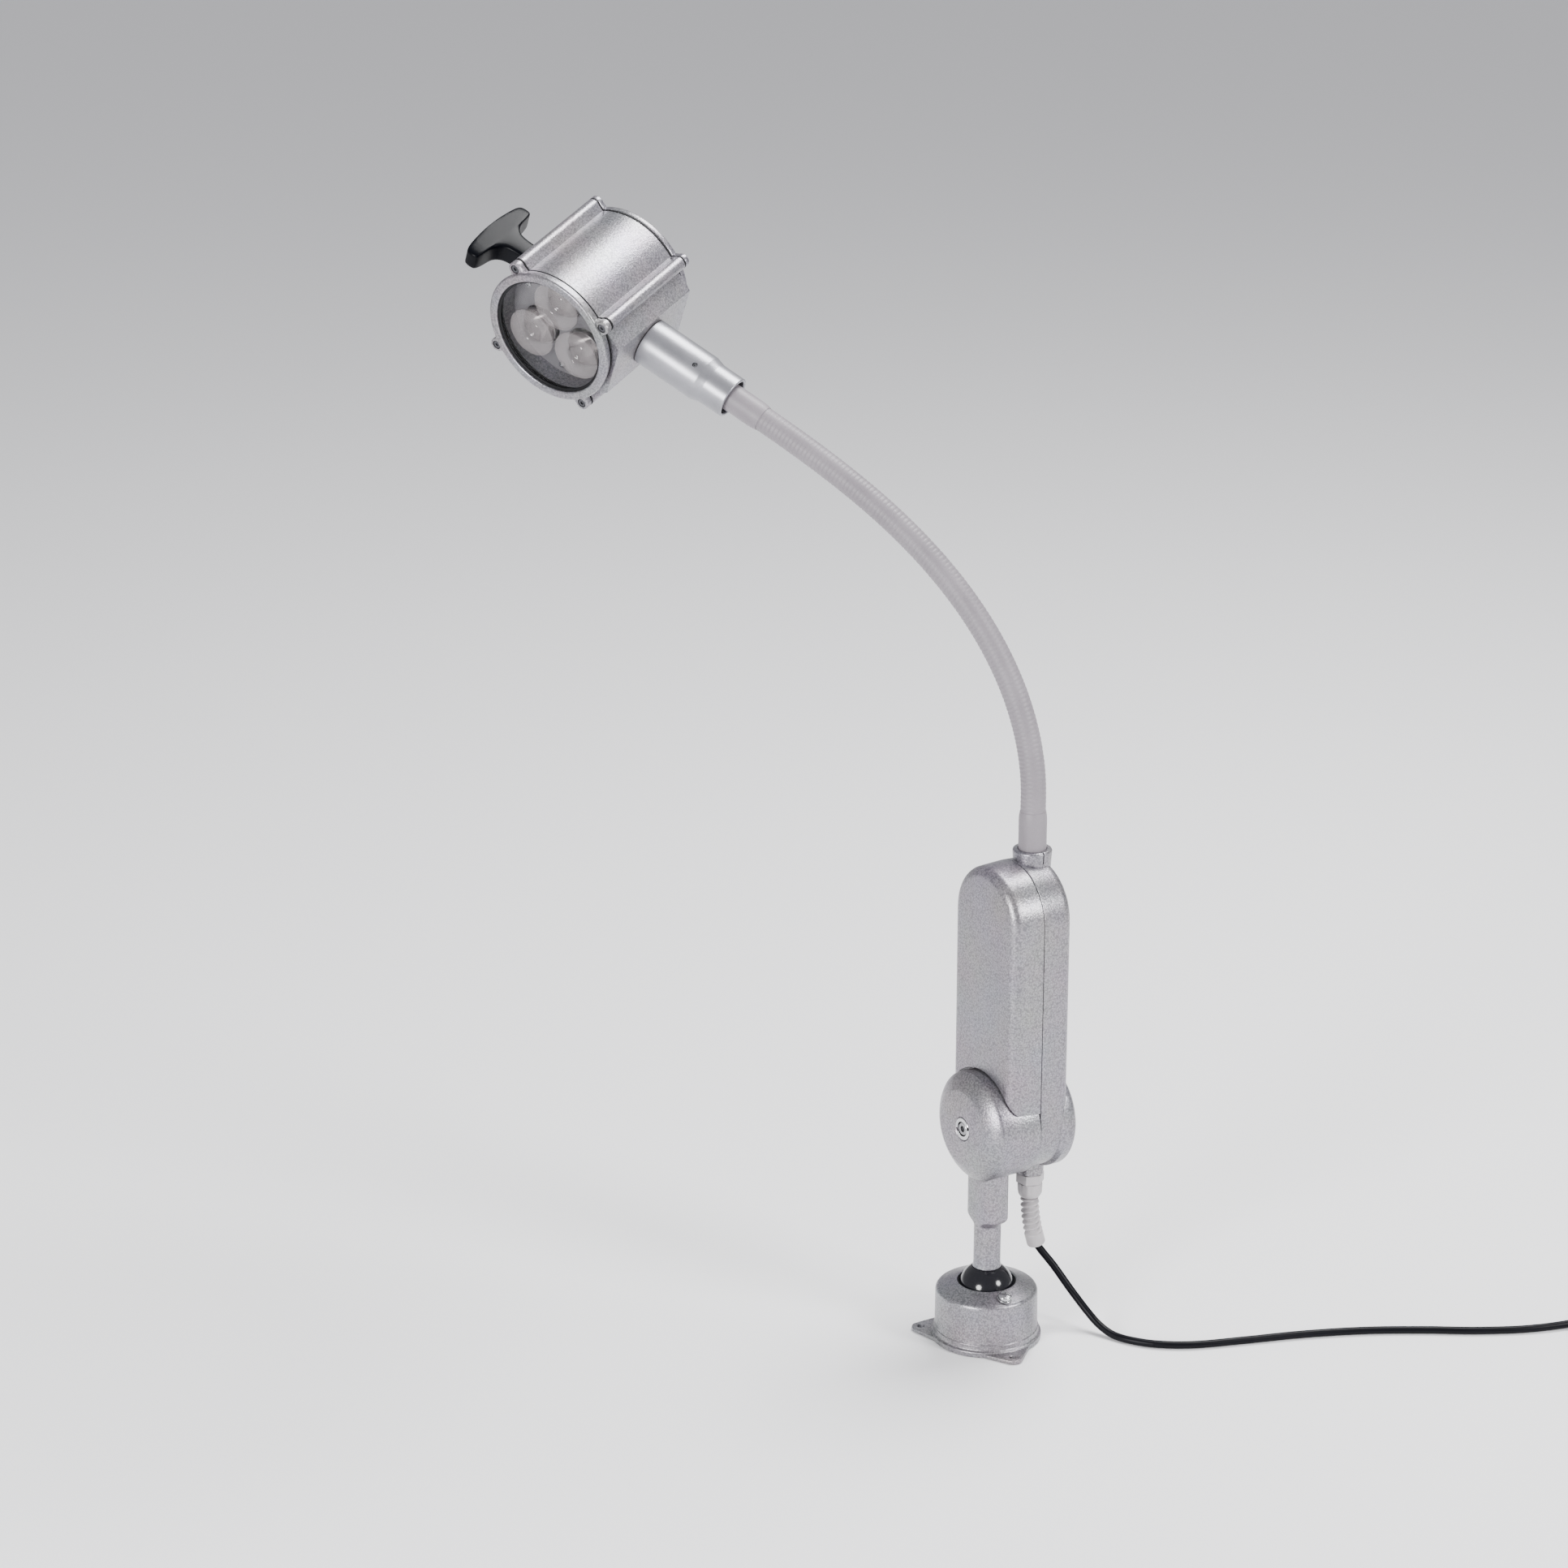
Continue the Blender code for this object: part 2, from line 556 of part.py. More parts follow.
def make_gland(slots, arm):
    spot = at(0, GLAND_Y, -HINGE_Z)
    grey = slots["gland_grey"]
    body = prism("gland_body", polygon(10.9, 6, math.radians(10.0)), 116.2, GLAND_BOSS_Z - GAP, grey, arm,
                 spot)
    cut(body, turned("tool_gland_body_bore", rod_outline(6.6, 110.0, 130.0), grey, arm, spot, 16))
    turned("gland_nut", [(CORD_R + 0.6, 104.0), (7.4, 104.0), (8.6, 107.0), (9.3, 108.0), (9.6, 115.9),
                         (6.6, 115.9),
                               (6.6, 109.0), (CORD_R + 0.6, 109.0)], grey, arm, spot, 18)
    turns = 6
    spiral_share = 0.72
    steps = turns * 3
    points, radii = [], []
    for i in range(steps + 1):
        share = spiral_share * i / steps
        points.append(guard_point(share))
        radii.append(7.0 if i % 3 == 1 else 5.4)
    for share, radius in ((0.73, 6.4), (0.76, 7.2), (1.0, 7.2)):
        points.append(guard_point(share))
        radii.append(radius)
    guard = loft("bend_guard", sweep_rings(points, radii, 10), grey, arm, at(0, 0, -HINGE_Z))
    bore = [guard_point(-0.05 + 1.1 * i / 12) for i in range(1, 13)]
    bore.insert(0, (0.0, GLAND_Y, 106.0))
    cut(guard, loft("tool_guard_bore", sweep_rings(bore, [CORD_R + 0.35] * len(bore), 8), grey, arm,
                    at(0, 0, -HINGE_Z)))


# ---------------------------------------------------------------- cord
FLOOR_Z = CORD_R + 0.05
CORD_HANGING = [(0.0, 45.2, 63.4), (3.5, 49.5, 55.5), (9.0, 55.5, 45.5), (21.0, 63.2, 28.4),
                (35.0, 69.0, 14.4),
                (46.0, 72.2, 7.2), (58.0, 76.0, FLOOR_Z + 0.4)]
CORD_FLOOR = [(58.0, 76.0, FLOOR_Z + 0.4), (72.0, 82.5, FLOOR_Z), (88.0, 96.0, FLOOR_Z),
              (103.0, 119.0, FLOOR_Z),
              (117.0, 156.0, FLOOR_Z), (132.0, 198.0, FLOOR_Z), (151.0, 240.0, FLOOR_Z),
              (174.0, 279.0, FLOOR_Z),
              (196.0, 312.0, FLOOR_Z), (214.0, 346.0, FLOOR_Z), (225.0, 378.0, FLOOR_Z + 0.5),
              (228.0, 394.0, FLOOR_Z + COIL_LIFT)]
COIL_CENTRE = (228.0 + COIL_MEAN_R + 2.0 * CORD_R, 416.0)
TAIL_Y = COIL_CENTRE[1] + COIL_MEAN_R + 2.0 * CORD_R
TAIL_START_X = COIL_CENTRE[0] + 23.5
PLUG_PLACE = (TAIL_START_X + 44.0, TAIL_Y + 7.0, 6.6)
CORD_TAIL = [(TAIL_START_X, TAIL_Y, FLOOR_Z + COIL_LIFT + 2.0 * CORD_R),
             (TAIL_START_X + 14.0, TAIL_Y + 1.5, 7.6),
             (TAIL_START_X + 28.0, TAIL_Y + 4.0, 6.2), (TAIL_START_X + 42.0, TAIL_Y + 6.5, 6.6)]


def smooth_route(points, spacing):
    """A Catmull-Rom curve through the points, sampled about every spacing millimetres."""
    knots = [Vector(p) for p in points]
    knots = [2 * knots[0] - knots[1]] + knots + [2 * knots[-1] - knots[-2]]
    route = []
    for a, b, c, d in zip(knots, knots[1:], knots[2:], knots[3:]):
        steps = max(1, round((c - b).length / spacing))
        for i in range(steps):
            t = i / steps
            route.append(0.5 * (2 * b + (c - a) * t + (2 * a - 5 * b + 4 * c - d) * t ** 2
                                + (3 * b - 3 * c + d - a) * t ** 3))
    route.append(knots[-2])
    return route


def cord_tube(name, route, slot, parent, place=Matrix.Identity(4)):
    curve = bpy.data.curves.new(name, "CURVE")
    curve.dimensions = "3D"
    curve.bevel_depth = CORD_R * MM
    curve.bevel_resolution = 2
    curve.use_fill_caps = True
    spline = curve.splines.new("POLY")
    spline.points.add(len(route) - 1)
    for knot, point in zip(spline.points, route):
        knot.co = (point[0] * MM, point[1] * MM, point[2] * MM, 1.0)
    curve.materials.append(slot)
    tube = bpy.data.objects.new(name, curve)
    bpy.context.scene.collection.objects.link(tube)
    tube.parent = parent
    tube.matrix_basis = in_metres(place)
    return tube


def shorten(route, start, end):
    """Pull the route's ends in, so that touching pieces keep their gap."""
    route = list(route)
    route[0] = route[0] + (route[1] - route[0]).normalized() * start
    route[-1] = route[-1] + (route[-2] - route[-1]).normalized() * end
    return route


def make_cord(slots, root, arm):
    black = slots["cord_black"]
    cord_tube("cord_hanging", shorten(smooth_route(CORD_HANGING, 12.0), 0.0, 0.6), black, arm,
              at(0, 0, -HINGE_Z))
    cord_tube("cord_floor", shorten(smooth_route(CORD_FLOOR, 17.0), 0.6, 0.5), black, root)
    half_wide = COIL_TURNS_WIDE * CORD_R
    low, high = COIL_LIFT + 0.1, COIL_LIFT + 2.0 * COIL_LAYERS * CORD_R
    ring = [(COIL_MEAN_R - half_wide, low), (COIL_MEAN_R + half_wide, low), (COIL_MEAN_R + half_wide, high),
            (COIL_MEAN_R - half_wide, high)]
    turned("cord_coil", ring, black, root, at(COIL_CENTRE[0], COIL_CENTRE[1]), 32)
    inner = box_outline(half_wide + 0.8, (high - low) / 2 + 0.35, 1.0, 2)
    outer = box_outline(half_wide + 1.7, (high - low) / 2 + 0.95, 1.6, 2)
    tie_spot = at(COIL_CENTRE[0], COIL_CENTRE[1] + COIL_MEAN_R, (low + high) / 2)
    flat = Matrix(((0, 0, 1, 0), (1, 0, 0, 0), (0, 1, 0, 0), (0, 0, 0, 1)))
    tie = prism("coil_tie", outer, -3.5, 3.5, slots["black_rubber"], root, tie_spot @ flat)
    cut(tie, prism("tool_tie_inside", inner, -9.0, 9.0, slots["black_rubber"], root, tie_spot @ flat))


def make_plug(slots, root):
    """A flat two-pin plug on its side, with a tapered tail over the cord."""
    forward = Matrix.Rotation(math.pi / 2.0, 4, "Z") @ Matrix.Rotation(math.pi / 2.0, 4, "X")
    place = at(*PLUG_PLACE) @ forward
    rings = []
    for z, half_x, half_y, corner in ((0.0, 4.0, 3.8, 2.4), (24.0, 5.2, 5.0, 2.6), (31.0, 10.0, 6.4, 3.0),
                                      (46.0, 12.8, 6.4, 3.0),
                                      (60.0, 12.8, 6.4, 3.0)):
        rings.append([(x, y, z) for x, y in box_outline(half_x, half_y, corner)])
    body = loft("plug_body", rings, slots["cord_black"], root, place)
    cut(body, turned("tool_plug_bore", rod_outline(CORD_R + 0.3, -2.0, 1.6), slots["cord_black"], root,
                     place, 12))
    for i, side in enumerate((-1.0, 1.0)):
        turned("plug_pin_%d" % (i + 1), rod_outline(2.0, 60.3, 79.0, 0.6), slots["brass"], root,
               place @ at(side * 9.3), 12)
    tail_route = shorten(smooth_route(CORD_TAIL, 12.0), 1.0, GAP)
    cord_tube("cord_tail", tail_route, slots["cord_black"], root)


# ---------------------------------------------------------------- gooseneck
def neck_angle(length):
    """Lean from the vertical: the bend is sharpest at the foot and eases off evenly to the head."""
    share = min(max((length - NECK_STRAIGHT) / (NECK_LENGTH - NECK_STRAIGHT), 0.0), 1.0)
    return NECK_BEND * (1.0 - (1.0 - share) ** 2)


def neck_frame(length):
    """World frame on the neck's centre line: Z along the neck, Y square to its plane."""
    steps = 240
    out = rise = 0.0
    for i in range(steps):
        lean = neck_angle(length * (i + 0.5) / steps)
        out += math.sin(lean) * length / steps
        rise += math.cos(lean) * length / steps
    heading = Vector((math.cos(NECK_AZIMUTH), math.sin(NECK_AZIMUTH), 0.0))
    lean = neck_angle(length)
    tangent = heading * math.sin(lean) + Vector((0, 0, math.cos(lean)))
    normal = heading * math.cos(lean) - Vector((0, 0, math.sin(lean)))
    square = tangent.cross(normal)
    place = Matrix((normal, square, tangent)).transposed().to_4x4()
    place.translation = Vector((0.0, NECK_Y, COLLAR_TOP)) + heading * out + Vector((0, 0, rise))
    return place


def neck_joint_length(index):
    """Joints stand where each takes an equal share of the bend."""
    share = 1.0 - math.sqrt(1.0 - (index + 0.5) / NECK_JOINTS)
    return NECK_STRAIGHT + share * (NECK_LENGTH - NECK_STRAIGHT)


def ring_at(frame, radius, lift, sides):
    if radius <= 0.0:
        return [frame @ Vector((0, 0, lift))]
    return [frame @ Vector((radius * math.cos(TURN * k / sides), radius * math.sin(TURN * k / sides), lift))
            for k in range(sides)]


def neck_link(name, start, end, socket, dome, slot, parent, place):
    """A stretch of neck. A socket end takes the dome of the stretch below, with room to lean."""
    sides = 14
    rings = []
    first = start
    if socket:
        frame = neck_frame(start)
        hollow = NECK_R + GAP
        for rise in (90.0, 64.0, 40.0, 20.0):
            angle = math.radians(rise)
            radius = hollow * math.cos(angle) if rise < 90.0 else 0.0
            rings.append(ring_at(frame, radius, hollow * math.sin(angle), sides))
        first = start + hollow * math.sin(math.radians(20.0))
    else:
        rings.append(ring_at(neck_frame(start), 0.0, 0.0, sides))
    steps = max(1, round((end - first) / 18.0))
    stops = [first + (end - first) * i / steps for i in range(steps + 1)]
    edges = [edge for edge in (SLEEVE_LENGTH, NECK_LENGTH - SLEEVE_LENGTH) if first < edge < end]
    for stop in sorted([s for s in stops if all(abs(s - edge) > 1.0 for edge in edges)]
                       + [edge + side for edge in edges for side in (-0.01, 0.01)]):
        sleeved = stop < SLEEVE_LENGTH or stop > NECK_LENGTH - SLEEVE_LENGTH
        rings.append(ring_at(neck_frame(stop), SLEEVE_R if sleeved else NECK_R, 0.0, sides))
    frame = neck_frame(end)
    if dome:
        for rise in (30.0, 60.0, 90.0):
            angle = math.radians(rise)
            radius = NECK_R * math.cos(angle) if rise < 90.0 else 0.0
            rings.append(ring_at(frame, radius, NECK_R * math.sin(angle), sides))
    else:
        rings.append(ring_at(frame, 0.0, 0.0, sides))
    return loft(name, rings, slot, parent, place)


def make_neck(slots, bodies):
    """Stretches 0 to 5: the first stands in the arm, and each of the others turns on a joint."""
    grey = slots["grey_sheath"]
    lengths = [neck_joint_length(i) for i in range(NECK_JOINTS)]
    for i, parent in enumerate(bodies):
        start = -11.0 if i == 0 else lengths[i - 1]
        end = NECK_LENGTH + 8.0 if i == NECK_JOINTS else lengths[i]
        neck_link("neck_link_%d" % i, start, end, i > 0, i < NECK_JOINTS, grey, parent,
                  parent_inverse(parent))
    socket = [(SLEEVE_R + 0.4, 9.4), (13.5, 9.0), (13.5, 0.0), (SOCKET_END_R, 0.0), (SOCKET_END_R, 19.0),
              (SOCKET_R, 26.0),
              (SOCKET_R, HEAD_REACH + PAD_X - GAP), (SPIGOT_R, HEAD_REACH + PAD_X - GAP),
              (SPIGOT_R, HEAD_REACH - 38.0),
              (5.0, HEAD_REACH - 38.0), (5.0, 20.0), (SLEEVE_R + 0.4, 20.0)]
    frame = parent_inverse(bodies[-1]) @ neck_frame(NECK_LENGTH)
    piece = turned("neck_socket", socket, slots["satin_aluminium"], bodies[-1], frame, 24)
    side = frame @ at(0, 0, 33.0) @ Matrix.Rotation(math.radians(130.0), 4, "Z") @ Matrix.Rotation(
        math.pi / 2.0, 4, "Y")
    cut(piece, turned("tool_grub_hole", rod_outline(1.9, 10.0, 24.0), slots["steel"], bodies[-1], side, 12))
    grub = turned("grub_screw", rod_outline(1.6, 10.2, 16.2, 0.2), slots["steel"], bodies[-1], side, 12)
    cut(grub, prism("tool_grub_socket", polygon(0.9, 6), 14.6, 18.0, slots["steel"], bodies[-1], side))


def parent_inverse(parent):
    """World to the parent's own frame, in millimetres."""
    bpy.context.view_layer.update()
    inverse = parent.matrix_world.inverted()
    inverse.translation = inverse.translation / MM
    return inverse


# ---------------------------------------------------------------- head
def lobed_outline(radius, pad):
    """A circle with four screw ribs, and on the neck side a flat pad with bevelled edges."""
    half_open = math.degrees(math.asin(RIB_R / RIB_RADIUS))
    points = []
    for quarter in range(4):
        middle = 45.0 + 90.0 * quarter
        centre = (RIB_RADIUS * math.cos(math.radians(middle)), RIB_RADIUS * math.sin(math.radians(middle)))
        points += arc((0, 0), radius, middle - half_open - 1.5, middle - half_open - 1.5, 1)[:1]
        points += arc(centre, RIB_R, middle - 100.0, middle + 100.0, 5)
        next_rib = middle + 90.0 - half_open - 1.5
        here = middle + half_open + 1.5
        if pad and quarter == 1:
            points += arc((0, 0), radius, here, here, 1)[:1]
            points += [(PAD_X + 5.5, PAD_HALF + 5.0), (PAD_X, PAD_HALF), (PAD_X, -PAD_HALF),
                       (PAD_X + 5.5, -PAD_HALF - 5.0)]
        else:
            points += arc((0, 0), radius, here, next_rib, 6)[:-1]
    return points


def ring_prism(name, outline, bore, low, high, slot, parent, sides=24):
    piece = prism(name, outline, low, high, slot, parent)
    cut(piece, turned("tool_bore_" + name, rod_outline(bore, low - 5.0, high + 5.0), slot, parent,
                      sides=sides))
    return piece


def rib_spots():
    return [Matrix.Rotation(math.radians(45.0 + 90.0 * i), 4, "Z") @ at(RIB_RADIUS) for i in range(4)]


def make_head(slots, head):
    paint = slots["hammertone"]
    body = ring_prism("lamp_body", lobed_outline(BODY_R, True), BODY_BORE_R, BODY_BACK, BODY_FRONT, paint,
                      head)
    cut(body, turned("tool_neck_hole", rod_outline(SPIGOT_R + GAP, -60.0, -40.0), paint, head, along_x(),
                     16),
        turned("tool_handle_hole", rod_outline(3.3, 40.0, 60.0), paint, head, along_x(), 12))
    front_gap, back_gap = BODY_FRONT + GAP, BODY_BACK - GAP
    front_gasket = ring_prism("front_gasket", lobed_outline(BODY_R - 0.6, False), BODY_BORE_R, front_gap,
                              front_gap + 1.0,
               slots["black_rubber"], head, 24)
    rear_gasket = ring_prism("rear_gasket", lobed_outline(BODY_R - 0.6, False), BODY_BORE_R,
                             back_gap - 1.0, back_gap,
               slots["black_rubber"], head, 24)
    bezel = ring_prism("front_bezel", lobed_outline(BEZEL_R - 1.0, False), BODY_BORE_R + 1.2,
                       front_gap + 1.3, HEAD_FRONT - 1.6,
                       paint, head)
    rim = [(BEZEL_INNER_R, HEAD_FRONT - 3.2), (BODY_BORE_R + 3.2, HEAD_FRONT - 3.2)]
    rim += [(BEZEL_R, HEAD_FRONT - 3.2), (BEZEL_R, HEAD_FRONT - 1.4), (BEZEL_R - 1.4, HEAD_FRONT),
            (BEZEL_INNER_R + 1.2, HEAD_FRONT), (BEZEL_INNER_R, HEAD_FRONT - 1.2)]
    join(bezel, turned("tool_bezel_rim", rim, paint, head, sides=32))
    cover = prism("rear_cover", lobed_outline(BEZEL_R - 1.0, False), HEAD_BACK + 1.4, back_gap - 1.3,
                  paint, head)
    join(cover, turned("tool_cover_crown", [(0.0, HEAD_BACK + 3.0), (BEZEL_R - 1.4, HEAD_BACK + 3.0),
                                            (BEZEL_R - 3.0, HEAD_BACK),
                                            (0.0, HEAD_BACK)], paint, head, sides=28))
    for i, spot in enumerate(rib_spots()):
        hole = turned("tool_tie_hole_%d" % i, rod_outline(2.3, HEAD_BACK - 3.0, HEAD_FRONT + 3.0), paint,
                      head, spot, 8)
        cut(body, hole)
        cut(bezel, hole)
        cut(cover, hole)
        cut(front_gasket, hole)
        cut(rear_gasket, hole)
        turned("tie_screw_%d" % (i + 1), rod_outline(2.0, HEAD_BACK + 1.0, HEAD_FRONT - 2.4),
               slots["steel"], head, spot, 10)
    turned("front_glass", rod_outline(BODY_BORE_R + 0.5, 48.2, 50.2), slots["clear_glass"], head, sides=28)
    turned("glass_seal", tube_outline(BEZEL_INNER_R - 2.2, BEZEL_INNER_R - GAP, 50.5, 51.8),
           slots["black_rubber"], head, sides=28)
    plate = turned("lens_plate", rod_outline(BODY_BORE_R - GAP, PLATE_FACE - 2.0, PLATE_FACE),
                   slots["satin_aluminium"],
                   head, sides=24)
    for i in range(3):
        spot = Matrix.Rotation(LENS_FIRST_ANGLE + TURN * i / 3, 4, "Z") @ at(LENS_REACH)
        cut(plate, turned("tool_lens_hole_%d" % i, rod_outline(15.9, 20.0, 40.0), paint, head, spot, 16))
        dome = [(0.0, 18.5), (7.0, 18.5), (15.0, PLATE_FACE + 0.6), (18.0, PLATE_FACE + 8.0),
                (LENS_R, 43.0), (LENS_R, 45.4),
                (8.5, 45.4), (8.0, 41.6), (0.0, 41.6)]
        turned("lens_%d" % (i + 1), dome, slots["lens_acrylic"], head, spot, 16)
    board = turned("led_board", rod_outline(44.0, 12.0, 13.8), slots["white_board"], head, sides=20)
    for i in range(3):
        spot = Matrix.Rotation(LENS_FIRST_ANGLE + TURN * i / 3, 4, "Z") @ at(LENS_REACH)
        join(board, turned("tool_led_%d" % i, [(0.0, 13.0), (3.4, 13.0), (3.4, 15.0), (2.2, 16.6),
                                               (0.0, 17.4)],
                           paint, head, spot, 8))
    sink = turned("heat_sink", rod_outline(45.0, 4.0, 11.6), slots["satin_aluminium"], head, sides=20)
    for i in range(5):
        across = -32.0 + 16.0 * i
        width = math.sqrt(43.0 ** 2 - across ** 2)
        join(sink, prism("tool_fin_%d" % i, [(across - 1.2, -width), (across + 1.2, -width),
                                             (across + 1.2, width),
                                             (across - 1.2, width)], -34.0, 6.0, paint, head))
    cut(sink, turned("tool_sink_relief", rod_outline(15.5, -60.0, -30.0), paint, head, along_x(), 16),
        turned("tool_sink_handle_relief", rod_outline(8.0, 34.0, 60.0), paint, head, along_x(), 12))
    nut = prism("neck_retaining_nut", polygon(11.4, 6), -44.6, -39.6, slots["steel"], head, along_x())
    cut(nut, turned("tool_retaining_bore", rod_outline(SPIGOT_R + GAP, -50.0, -30.0), paint, head,
                    along_x(), 16))


def make_handle(slots, head):
    """T-handle: a post that flares into a bar along the head's axis."""
    half = [(BODY_R + 0.6, 8.8), (60.0, 8.2)]
    half += arc((71.0, 18.0), 9.6, -90.0, -8.0, 5)
    half += [(80.8, 27.0), (82.4, 32.0), (84.6, 33.6), (90.6, 33.4), (93.2, 30.6), (94.8, 20.0), (95.6, 8.0)]
    outline = half + [(x, -y) for x, y in reversed(half)]
    stand = Matrix(((1, 0, 0, 0), (0, 0, -1, 0), (0, 1, 0, 0), (0, 0, 0, 1)))
    handle = prism("t_handle", outline, -8.6, 8.6, slots["black_plastic"], head, stand)
    edge = handle.modifiers.new("rounding", "BEVEL")
    edge.width = 4.0 * MM
    edge.segments = 2
    edge.limit_method = "ANGLE"
    edge.angle_limit = math.radians(60.0)
    cut(handle, turned("tool_insert_bore", rod_outline(3.3, 45.0, 70.0), slots["brass"], head, along_x(),
                       12))
    turned("handle_insert", rod_outline(3.0, 42.0, 69.0, 0.4), slots["brass"], head, along_x(), 12)


# ---------------------------------------------------------------- assembly
def clear_scene():
    for old in list(bpy.data.objects):
        bpy.data.objects.remove(old, do_unlink=True)


def head_frame():
    """The head's frame: its X axis continues the neck, and its roll about that axis faces the glass."""
    end = neck_frame(NECK_LENGTH)
    turn_x_to_z = Matrix.Rotation(-math.pi / 2.0, 4, "Y")
    return end @ at(0, 0, HEAD_REACH) @ Matrix.Rotation(HEAD_ROLL, 4, "Z") @ turn_x_to_z


def main():
    clear_scene()
    slots = all_materials()
    root = body_empty("frame_base", None)
    swivel = body_empty("frame_swivel", root, at(0, 0, BALL_Z))
    ball_body = body_empty("frame_ball", swivel)
    stem_body = body_empty("frame_stem", ball_body)
    arm = body_empty("frame_arm", stem_body, at(0, 0, HINGE_Z - BALL_Z))
    neck_bodies = [arm]
    for i in range(NECK_JOINTS):
        parent = neck_bodies[-1]
        place = parent_inverse(parent) @ neck_frame(neck_joint_length(i))
        neck_bodies.append(body_empty("frame_neck_%d" % (i + 1), parent, place))
    head = body_empty("frame_head", neck_bodies[-1], parent_inverse(neck_bodies[-1]) @ head_frame())
    make_base(slots, root)
    make_ball_seat(slots, swivel)
    make_ball(slots, ball_body)
    make_stem(slots, stem_body)
    make_arm(slots, arm)
    make_gland(slots, arm)
    make_cord(slots, root, arm)
    make_plug(slots, root)
    make_neck(slots, neck_bodies)
    make_head(slots, head)
    make_handle(slots, head)


main()
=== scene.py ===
"""Looks of the examination lamp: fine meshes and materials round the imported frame.

Lengths are in millimetres until a mesh is made, where MM turns them into metres.
World frame: origin at the centre of the base's underside, +Z up, +Y along the elbow's hinge axis.
Head frame: X runs from the neck to the handle, Z points out of the glass.
"""
import json
import math

import bmesh
import bpy
from mathutils import Matrix, Vector


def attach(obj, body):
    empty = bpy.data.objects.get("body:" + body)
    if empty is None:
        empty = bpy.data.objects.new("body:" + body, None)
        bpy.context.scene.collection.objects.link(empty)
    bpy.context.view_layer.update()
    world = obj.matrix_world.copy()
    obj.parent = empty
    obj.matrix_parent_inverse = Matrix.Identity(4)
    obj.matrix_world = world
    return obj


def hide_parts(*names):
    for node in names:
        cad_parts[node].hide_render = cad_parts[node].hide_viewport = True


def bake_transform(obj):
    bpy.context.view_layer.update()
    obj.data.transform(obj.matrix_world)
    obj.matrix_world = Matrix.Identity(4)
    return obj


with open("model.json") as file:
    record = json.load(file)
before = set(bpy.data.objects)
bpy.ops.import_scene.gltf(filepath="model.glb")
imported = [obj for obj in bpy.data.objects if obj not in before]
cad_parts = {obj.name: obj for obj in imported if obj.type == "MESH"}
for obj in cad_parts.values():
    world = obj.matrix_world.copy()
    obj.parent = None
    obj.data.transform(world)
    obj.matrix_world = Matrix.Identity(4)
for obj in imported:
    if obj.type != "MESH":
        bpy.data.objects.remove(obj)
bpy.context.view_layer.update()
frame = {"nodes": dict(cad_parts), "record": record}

MM = 0.001
TURN = 2.0 * math.pi
SEAM = 0.25  # half of the visible parting line

# Base and ball joint
FLANGE_R = 41.4
CUP_R = 38.6
CUP_RIM = 41.2
CUP_TOP = 45.4
OPENING_R = 21.6
EAR_REACH = 49.0
EAR_TIP_R = 7.0
EAR_SPREAD = 37.0  # half of the ear's root on the flange, degrees
EAR_HOLE_R = 2.65
EAR_BORE_R = 36.6
EAR_T = 3.2
EAR_ANGLES = (-130.0, -10.0, 110.0)
BALL_R = 21.0
BALL_Z = 38.5
BALL_TOP = 56.6
BALL_BORE_R = 4.3
SEAT_R = 21.3
CLAMP_SCREW = (31.0, -9.0, 42.7)  # reach, angle in degrees, height
CLAMP_SLOPE_RUN = 12.6  # length of the cup's sloping top under the screw
CLAMP_SLOT_ANGLE = math.radians(62.0)

# Stem and elbow
STEM_R = 10.1
COLUMN_Z = 97.0
COLUMN_HALF = (16.8, 10.8)
COLUMN_CORNER = 8.8
COLUMN_FLARE_Z = 90.5  # where the round stem starts to widen
HINGE_Z = 172.8
DISC_R = 41.5
DISC_FACE_R = 28.5
DISC_BACK = -24.2
DISC_SHOULDER = -14.4
SEAM_Y = 18.4
BOLT_R = 5.0
RING_NUT_R = 8.5
RING_NUT_ANGLE = math.radians(-20.0)

# Arm housing
ARM_HALF = 39.8
ARM_ARCH_Z = 334.2
ARM_BEVEL = 8.0
ARM_BACK = -7.9
ARM_FRONT = 44.7
SHELL_WALL = 3.0
SHELL_SCREW_HEIGHTS = (340.0, 232.0)
BULGE_SHOULDER = 47.5
BULGE_FACE = 55.0
BULGE_FACE_R = 30.0
NECK_Y = 34.0
COLLAR_R = 14.5
COLLAR_TOP = 382.6
COLLAR_BORE_R = 10.9
GLAND_Y = 38.0
GLAND_TIP = (0.0, 45.0, 64.0)
GLAND_WAY_R = 6.6
GUARD_TOP = 103.6
GUARD_TURNS = 6
GUARD_ROOT_R = 4.4
GUARD_RIDGE = 2.7
GUARD_WAY_R = 3.3
SPIRAL_SHARE = 0.72  # the rest of the guard is its plain end

# Gooseneck
NECK_AZIMUTH = math.radians(-148.05)
NECK_BEND = math.radians(62.6)
NECK_STRAIGHT = 38.5
NECK_LENGTH = 420.3
NECK_R = 9.3
NECK_JOINTS = 5
RIB_PITCH = 3.3
SLEEVE_R = 10.35
SLEEVE_LENGTH = 28.0
HEAD_REACH = 131.0
SOCKET_R = 18.0
SOCKET_END_R = 16.0
SOCKET_BORE_R = 10.8
GRUB_SPOT = 33.0
GRUB_ANGLE = math.radians(130.0)

